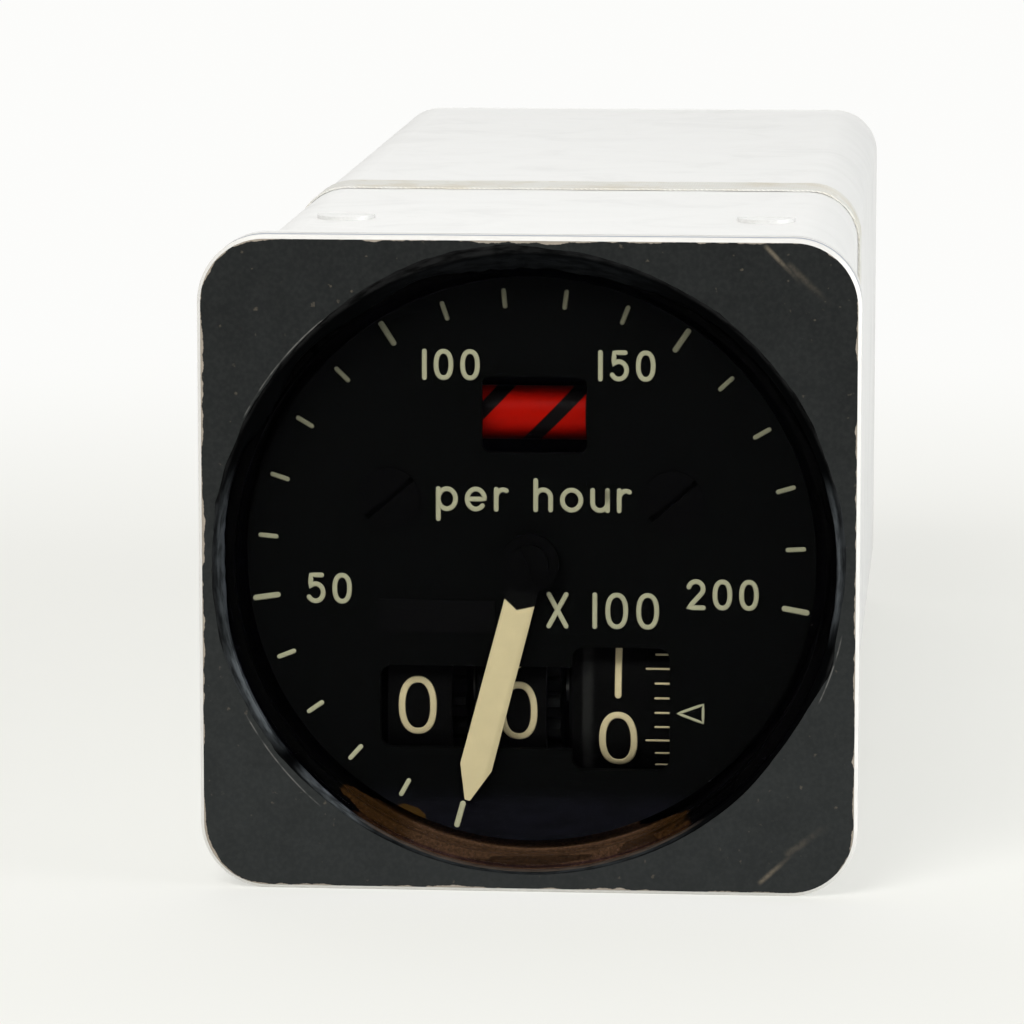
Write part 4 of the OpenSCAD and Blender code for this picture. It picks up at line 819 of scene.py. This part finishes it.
# The rounded end of a stroke: how far out its points lie, as shares of the half width, and
# the least share of the width there.
CAP = (1.0, 0.94, 0.77, 0.5, 0.2)
CAP_TIP = 0.03
# The widest gap between two points of a stroke.
REACH = 0.45 * MM


def filled(points):
    """The points of a stroke with more between any two that lie far apart, so that it can follow a drum."""
    run = [points[0]]
    for a, b in zip(points, points[1:]):
        parts = math.ceil(math.dist(a, b) / REACH)
        run += [(a[0] + (b[0] - a[0]) * i / parts, a[1] + (b[1] - a[1]) * i / parts)
                for i in range(1, parts + 1)]
    return run


def capped(points, stroke):
    """A stroke's points with their radii, rounded off at both ends, and whether it is a closed one."""
    def end(tip, inner):
        way = (Vector(tip) - Vector(inner)).normalized() * stroke / 2
        return [((tip[0] + way.x * t, tip[1] + way.y * t), max(CAP_TIP, math.sqrt(1 - t * t)))
                for t in CAP]

    if (Vector(points[0]) - Vector(points[-1])).length < stroke / 10:
        return [(p, 1.0) for p in points[:-1]], True
    head = end(points[0], points[1])
    tail = end(points[-1], points[-2])
    return head + [(p, 1.0) for p in points] + tail[::-1], False


def raised(name, strokes, stroke, relief, place):
    """A mesh of strokes of one width. Place takes a point's X, Z and relief and gives its spot."""
    curve = bpy.data.curves.new(name, "CURVE")
    curve.dimensions = "3D"
    curve.bevel_depth = stroke / 2
    curve.bevel_resolution = 2
    for points in strokes:
        run, closed = capped(filled(points), stroke)
        spline = curve.splines.new("POLY")
        spline.points.add(len(run) - 1)
        for target, ((x, z), radius) in zip(spline.points, run):
            target.co = (x, 0, z, 1)
            target.radius = radius
        spline.use_cyclic_u = closed
    piece = bpy.data.objects.new(name, curve)
    bpy.context.scene.collection.objects.link(piece)
    only(piece)
    bpy.ops.object.convert(target="MESH")
    piece = bpy.context.object
    for v in piece.data.vertices:
        v.co = place(v.co.x, v.co.z, -v.co.y / (stroke / 2) * relief)
    return piece


def lettering(name, groups, relief, place):
    """One piece from groups of strokes, each group with its stroke's width."""
    parts = [raised(name, strokes, stroke, relief, place) for strokes, stroke in groups]
    only(parts[0])
    for part in parts[1:]:
        part.select_set(True)
    if len(parts) > 1:
        bpy.ops.object.join()
    piece = named(name)
    bpy.ops.object.mode_set(mode="EDIT")
    bpy.ops.mesh.select_all(action="SELECT")
    bpy.ops.mesh.remove_doubles(threshold=0.001 * MM)
    bpy.ops.mesh.normals_make_consistent(inside=False)
    bpy.ops.object.mode_set(mode="OBJECT")
    bpy.ops.object.shade_smooth()
    return piece


def on_dial(x, z, out):
    return Vector((x, DIAL_Y - out, z))


def on_drum(start):
    """A place on a drum's face, its Z measured round the drum from a start angle."""
    def place(x, z, out):
        turn = start + z / DRUM_R
        reach = DRUM_R + out
        return Vector((x, DRUM_Y - reach * math.cos(turn), DRUM_Z + reach * math.sin(turn)))
    return place


EYE = Vector((0.04072, -0.52616, 0.08372))
EYE_AIM = Vector((-0.00143, -0.0046, 0.00513))
LAMP_AIM = Vector((0, 0.02, 0))
# Each lamp's place and width in metres, its power in watts and its tint.
LAMPS = (
    ((-0.2, -0.5, 0.52), 0.4, 4.2, (1.0, 0.99, 0.97)),
    ((0.6, -0.15, 0.15), 0.4, 2.4, (0.97, 0.985, 1.0)),
    ((-0.1, 0.5, 0.55), 0.6, 1.0, (1.0, 1.0, 1.0)),
)
BACKDROP = (0.975, 0.975, 0.96)
FLOOR_R = 0.6


def facing(place, aim):
    """The rotation of a camera or a lamp at a place that looks at its aim."""
    return (aim - place).to_track_quat("-Z", "Y").to_euler()


def pale_floor():
    """A pale finish that melts into the background with its distance from the gauge."""
    f = Finish("floor", 0.0)
    f.shader.inputs["Roughness"].default_value = 0.9
    f.colour(f.shade(f.noise(60), (0.81, 0.81, 0.785), 0.98, 1.02))
    far = f.reach(f.x, f.y)
    glow = f.out("Emission", {
        "Color": f.mix(f.step(far, 0.15, 0.45), (0.94, 0.94, 0.89), BACKDROP), "Strength": 1.0})
    share = f.seen() * f.step(far, 0.12, 0.4, 0.62, 1.0)
    f.surface(f.blend(share, Signal(f, f.shader.outputs[0]), glow))
    return f.material


def studio():
    """A world that looks pale, seems dark in front to what mirrors it, and gives a soft light."""
    world = bpy.data.worlds.new("studio")
    nodes = Nodes(world)
    way = nodes.out("TexCoord", output="Generated")
    mirrored = nodes.step(nodes.out("SeparateXYZ", {0: way}, "Y"), -0.6, 0.25, 0.03, 1.0)
    strength = nodes.calc("MAXIMUM", mirrored, nodes.out("LightPath", output="Is Camera Ray"))
    shown = nodes.out("Background", {"Color": BACKDROP, "Strength": strength})
    light = nodes.out("Background", {"Color": (1, 1, 1), "Strength": 0.3})
    nodes.add("OutputWorld", {"Surface": nodes.blend(nodes.seen(), light, shown)})
    return world


class GAUGE_OT_stage(bpy.types.Operator):
    """Sets the camera, the lamps, the pale floor and the background"""
    bl_idname = "gauge.stage"
    bl_label = "Stage"

    def execute(self, context):
        deselect()
        bpy.ops.object.camera_add(location=EYE, rotation=facing(EYE, EYE_AIM))
        camera = context.object
        camera.data.lens = 203.5
        camera.data.sensor_width = 36
        camera.data.clip_start = 0.01
        context.scene.camera = camera
        for place, size, power, tint in LAMPS:
            bpy.ops.object.light_add(
                type="AREA", location=place, rotation=facing(Vector(place), LAMP_AIM))
            lamp = context.object.data
            lamp.shape = "DISK"
            lamp.size = size
            lamp.energy = power
            lamp.color = tint
        bpy.ops.mesh.primitive_circle_add(
            vertices=96, radius=FLOOR_R, fill_type="NGON", location=(0, 0, low("bezel").z - 0.02 * MM))
        floor = named("floor")
        bpy.ops.object.transform_apply(location=True)
        floor.data.materials.append(pale_floor())
        context.scene.world = studio()
        context.scene.view_settings.view_transform = "Standard"
        return {"FINISHED"}


class GAUGE_OT_finishes(bpy.types.Operator):
    """Makes the finishes and gives each CAD node the one of its slot"""
    bl_idname = "gauge.finishes"
    bl_label = "Finishes"

    def execute(self, context):
        PALETTE.update(finishes(context.scene.gauge_colours))
        for entry in frame["record"]["subparts"]:
            node = frame["nodes"][entry["node"]]
            node.data.materials.clear()
            node.data.materials.append(PALETTE[DRESSED.get(entry["node"], entry["material_slot"])])
        return {"FINISHED"}


class GAUGE_OT_scale(bpy.types.Operator):
    """Letters the marks round the dial"""
    bl_idname = "gauge.scale"
    bl_label = "Scale marks"

    def execute(self, context):
        scale = context.scene.gauge_scale
        short, long = [], []
        for i in range(scale.marks):
            turn = scale.first_angle + i * scale.step
            is_long = i % scale.group == 0
            width = scale.long_width if is_long else scale.short_width
            extent = scale.long_length if is_long else scale.short_length
            ends = (scale.inner_radius + width / 2, scale.inner_radius + extent - width / 2)
            mark = [(r * math.sin(turn), r * math.cos(turn)) for r in ends]
            (long if is_long else short).append(mark)
        piece = lettering("scale_marks", [(short, scale.short_width), (long, scale.long_width)],
                          context.scene.gauge_lettering.relief, on_dial)
        settle(piece, PALETTE["marks"], "root")
        return {"FINISHED"}


# The dial's texts with their left and bottom edges, in mm.
SCALE_TEXTS = (("100", -10.06, 16.7), ("150", 6.15, 16.73), ("50", -20.83, -4.25), ("200", 14.32, -4.42))
MULTIPLIER_TEXTS = (("X", 1.43, -6.3), ("100", 5.68, -6.3))
LEGEND, LEGEND_MIDDLE, LEGEND_BASE = "per hour", 0.25 * MM, 4.53 * MM
TEXT_GAP, MULTIPLIER_GAP = 0.62 * MM, 0.74 * MM
# The tip, back, half height and Z of the triangle that points at the units drum, and its stroke.
INDEX_TIP, INDEX_BACK, INDEX_HALF, INDEX_Z = 13.62 * MM, 15.95 * MM, 0.86 * MM, -14.12 * MM
INDEX_STROKE = 0.26 * MM


class GAUGE_OT_figures(bpy.types.Operator):
    """Letters the dial's figures, its multiplier, its legend and the counter's index"""
    bl_idname = "gauge.figures"
    bl_label = "Dial figures"

    def execute(self, context):
        size = context.scene.gauge_lettering

        def lines(texts, height, gap):
            return [line for text, left, base in texts for line in written(
                text, FIGURES, left * MM, base * MM, height, size.stroke, gap)]

        legend_width = text_width(LEGEND, SMALL, size.legend_height, size.stroke, TEXT_GAP)
        legend = written(LEGEND, SMALL, LEGEND_MIDDLE - legend_width / 2, LEGEND_BASE,
                         size.legend_height, size.stroke, TEXT_GAP)
        index = [(INDEX_TIP, INDEX_Z), (INDEX_BACK, INDEX_Z + INDEX_HALF),
                 (INDEX_BACK, INDEX_Z - INDEX_HALF), (INDEX_TIP, INDEX_Z)]
        pieces = {
            "scale_figures": (lines(SCALE_TEXTS, size.figure_height, TEXT_GAP), size.stroke),
            "multiplier": (lines(MULTIPLIER_TEXTS, size.multiplier_height, MULTIPLIER_GAP), size.stroke),
            "legend": (legend, size.stroke),
            "index_mark": ([index], INDEX_STROKE),
        }
        for name, group in pieces.items():
            piece = lettering(name, [group], size.relief, on_dial)
            settle(piece, PALETTE["lettering"], "root")
        return {"FINISHED"}


# Each drum's middle in mm, its body and the angle where its 0 has its middle.
DRUMS = {
    "hundreds": (-10.65, "hundreds", -1.0 * DEG),
    "tens": (-1.28, "tens", -3.1 * DEG),
    "units": (8.0, "counter", UNITS_START),
}
# The marks of the units drum end at one X. Their lengths and stroke follow.
MARKS_END, LONG_MARK, SHORT_MARK, MARK_STROKE = 12.72 * MM, 2.1 * MM, 1.25 * MM, 0.2 * MM


class GAUGE_OT_drum_figures(bpy.types.Operator):
    """Letters the ten figures of each counter drum, and the marks of the units drum"""
    bl_idname = "gauge.drum_figures"
    bl_label = "Drum figures"

    def execute(self, context):
        size = context.scene.gauge_lettering
        stroke, tall, wide = size.drum_stroke, size.drum_height, size.drum_width
        pitch = DRUM_R * 36 * DEG
        for drum, (middle, body, start) in DRUMS.items():
            strokes = []
            for figure in range(10):
                text = str(figure)
                left = middle * MM - text_width(text, FIGURES, tall, stroke, wide=wide) / 2
                strokes += written(text, FIGURES, left, figure * pitch - tall / 2, tall, stroke, wide=wide)
            piece = lettering(drum + "_figures", [(strokes, stroke)], size.relief, on_drum(start))
            settle(piece, PALETTE["drum_lettering"], body)
        marks = []
        for i in range(50):
            left = MARKS_END - (LONG_MARK if i % 5 == 0 else SHORT_MARK)
            marks.append([(left, i * pitch / 5), (MARKS_END, i * pitch / 5)])
        piece = lettering("units_marks", [(marks, MARK_STROKE)], size.relief, on_drum(UNITS_START))
        settle(piece, PALETTE["drum_lettering"], "counter")
        return {"FINISHED"}


# Lumps of the bead past its feet: middle and half angle in degrees clockwise from the top,
# then height in mm.
OUTER_LUMPS = (
    (24, 56, 0.5), (60, 24, 0.3), (85, 22, 0.4), (108, 9, 0.45), (125, 14, -0.2),
    (180, 30, -0.1), (250, 40, 0.45), (290, 36, 0.4), (335, 46, 0.75), (350, 30, 0.25),
)
INNER_LUMPS = (
    (10, 30, 0.85), (350, 14, 0.4), (226, 12, 0.1), (269, 15, 0.3), (301, 11, 0.85), (328, 14, 0.55),
)


def swell(turn, lumps):
    total = 0.0
    for middle, half, height in lumps:
        away = (turn - middle + 180) % 360 - 180
        if abs(away) < half:
            total += height * (0.5 + 0.5 * math.cos(math.pi * away / half))
    return total


def uneven(ring, density, layer):
    """Noise round the dial, from about -1 to 1."""
    return noise.noise(Vector((ring.x * density, ring.y * density, layer)))


def laid(plain, middle, seals):
    """Where a point of a plain ring with its middle at a radius lies on the hand laid bead."""
    around = math.atan2(plain.x, plain.z)
    turn = math.degrees(around) % 360
    ring = Vector((math.sin(around), math.cos(around)))
    section = math.atan2(-plain.y, math.hypot(plain.x, plain.z) - middle)
    wander = uneven(ring, 9, 1.5)
    ripple = uneven(ring, 26, 4.2)
    swollen = swell(turn, OUTER_LUMPS)
    loose = min(1.0, 0.15 + max(0.0, swollen) * 3)
    outer = seals.outer_radius + (swollen + loose * (0.12 * wander + 0.12 * ripple)) * MM
    inner = seals.inner_radius - (swell(turn, INNER_LUMPS) * (1 + 0.4 * ripple) + 0.05 * ripple) * MM
    share = 0.5 + 0.5 * math.cos(section)
    r = inner + (outer - inner) * share
    climb = min(1.0, (r - inner) / (APERTURE_R - inner))
    if section >= 0:
        rise = seals.height * (1 + 0.5 * wander + 0.5 * ripple + 0.6 * uneven(ring, 40, share * 2))
        y = GLASS_Y + (FACE_Y - GLASS_Y) * climb - rise * math.sin(section)
    elif climb == 1:
        y = FACE_Y + 0.02 * MM
    else:
        y = GLASS_Y - 0.01 * MM
    return Vector((r * ring.x, y, r * ring.y))


class GAUGE_OT_sealant(bpy.types.Operator):
    """Lays the sealant's uneven bead in the corner between the glass and the bezel"""
    bl_idname = "gauge.sealant"
    bl_label = "Glass sealant"

    def execute(self, context):
        seals = context.scene.gauge_seals
        deselect()
        middle = (seals.inner_radius + seals.outer_radius) / 2
        bpy.ops.mesh.primitive_torus_add(
            major_segments=540, minor_segments=20, major_radius=middle,
            minor_radius=(seals.outer_radius - seals.inner_radius) / 2, rotation=(math.pi / 2, 0, 0))
        bead = named("sealant_bead")
        bpy.ops.object.transform_apply(rotation=True)
        for v in bead.data.vertices:
            v.co = laid(v.co, middle, seals)
        bpy.ops.object.shade_smooth()
        settle(bead, PALETTE["sealant"], "root")
        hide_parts("glass_sealant")
        return {"FINISHED"}


TAPE_THICKNESS = 0.18 * MM
TAPE_CREASE = 0.06 * MM
TAPE_ROWS, TAPE_COLUMNS = 8, 30


def pick(piece, kind, test):
    """Selects the edges or faces that pass a test, and stays in Edit Mode."""
    bpy.ops.object.mode_set(mode="EDIT")
    bpy.ops.mesh.select_mode(type=kind)
    bpy.ops.mesh.select_all(action="DESELECT")
    bpy.ops.object.mode_set(mode="OBJECT")
    for element in piece.data.edges if kind == "EDGE" else piece.data.polygons:
        element.select = test(element)
    bpy.ops.object.mode_set(mode="EDIT")


def aged(plain, front, back, half, wave):
    """Where a point of a plain tape lies on the aged one, with wandering edges and creases."""
    middle = (front + back) / 2
    side = 1 if plain.y > middle else -1
    share = abs(plain.y - middle) / (back - middle)
    around = Vector((plain.x, side * 0.01, plain.z))
    wander = 0.6 + noise.noise(around * 260) + 0.5 * noise.noise(around * 900)
    place = Vector((plain.x, plain.y - side * share * wave * wander, plain.z))
    crease = (0.5 + 0.5 * noise.noise(place * 420)) * TAPE_CREASE
    if abs(place.x) > abs(place.z):
        place.x -= place.x / half * crease
    else:
        place.z -= place.z / half * crease
    return place


class GAUGE_OT_tape(bpy.types.Operator):
    """Winds the aged tape over the joint of the case"""
    bl_idname = "gauge.tape"
    bl_label = "Joint tape"

    def execute(self, context):
        a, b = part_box("joint_band")
        half = b.x
        deselect()
        bpy.ops.mesh.primitive_cube_add(size=1, location=(a + b) / 2, scale=(2 * half, b.y - a.y, 2 * half))
        tape = named("joint_tape")
        bpy.ops.object.transform_apply(location=True, rotation=True, scale=True)

        def runs_back(edge):
            ends = [tape.data.vertices[i].co for i in edge.vertices]
            return abs(ends[0].y - ends[1].y) > 1 * MM

        pick(tape, "EDGE", runs_back)
        bpy.ops.mesh.bevel(offset=CASE_CORNER, segments=10, affect="EDGES")
        pick(tape, "FACE", lambda face: abs(face.normal.y) > 0.9)
        bpy.ops.mesh.delete(type="FACE")
        cuts = [((0, a.y + (b.y - a.y) * i / TAPE_ROWS, 0), (0, 1, 0)) for i in range(1, TAPE_ROWS)]
        flat = half - CASE_CORNER
        shifts = [2 * flat * i / TAPE_COLUMNS - flat for i in range(1, TAPE_COLUMNS)]
        for axis in ((1, 0, 0), (0, 0, 1)):
            cuts += [(scaled(axis, shift), axis) for shift in shifts]
        for place, normal in cuts:
            bpy.ops.mesh.select_all(action="SELECT")
            bpy.ops.mesh.bisect(plane_co=place, plane_no=normal)
        bpy.ops.object.mode_set(mode="OBJECT")
        for v in tape.data.vertices:
            v.co = aged(v.co, a.y, b.y, half, context.scene.gauge_seals.tape_wave)
        solid = tape.modifiers.new("thickness", "SOLIDIFY")
        solid.thickness = TAPE_THICKNESS
        solid.offset = -1
        bpy.ops.object.modifier_apply(modifier="thickness")
        bpy.ops.object.shade_smooth_by_angle(angle=40 * DEG)
        settle(tape, PALETTE["band"], "root")
        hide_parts("joint_band")
        return {"FINISHED"}


OPERATORS = (GAUGE_OT_stage, GAUGE_OT_finishes, GAUGE_OT_scale, GAUGE_OT_figures,
             GAUGE_OT_drum_figures, GAUGE_OT_sealant, GAUGE_OT_tape)
GROUPS = {"gauge_scale": GaugeScale, "gauge_lettering": GaugeLettering,
          "gauge_seals": GaugeSeals, "gauge_colours": GaugeColours}


class GAUGE_PT_panel(bpy.types.Panel):
    """The gauge's sizes, colours and steps"""
    bl_idname = "GAUGE_PT_panel"
    bl_label = "Gauge"
    bl_space_type = "VIEW_3D"
    bl_region_type = "UI"
    bl_category = "Gauge"

    def draw(self, context):
        for operator in OPERATORS:
            self.layout.operator(operator.bl_idname)
        for name in GROUPS:
            group = getattr(context.scene, name)
            box = self.layout.box()
            for setting in group.bl_rna.properties:
                if setting.identifier not in ("rna_type", "name"):
                    box.prop(group, setting.identifier)


def register():
    for entry in (*GROUPS.values(), *OPERATORS, GAUGE_PT_panel):
        bpy.utils.register_class(entry)
    for name, group in GROUPS.items():
        setattr(bpy.types.Scene, name, PointerProperty(type=group))


def unregister():
    for name in GROUPS:
        delattr(bpy.types.Scene, name)
    for entry in reversed((*GROUPS.values(), *OPERATORS, GAUGE_PT_panel)):
        bpy.utils.unregister_class(entry)


def main():
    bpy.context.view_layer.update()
    register()
    bpy.ops.gauge.stage()
    bpy.ops.gauge.finishes()
    bpy.ops.gauge.scale()
    bpy.ops.gauge.figures()
    bpy.ops.gauge.drum_figures()
    bpy.ops.gauge.sealant()
    bpy.ops.gauge.tape()


if __name__ == "__main__":
    main()
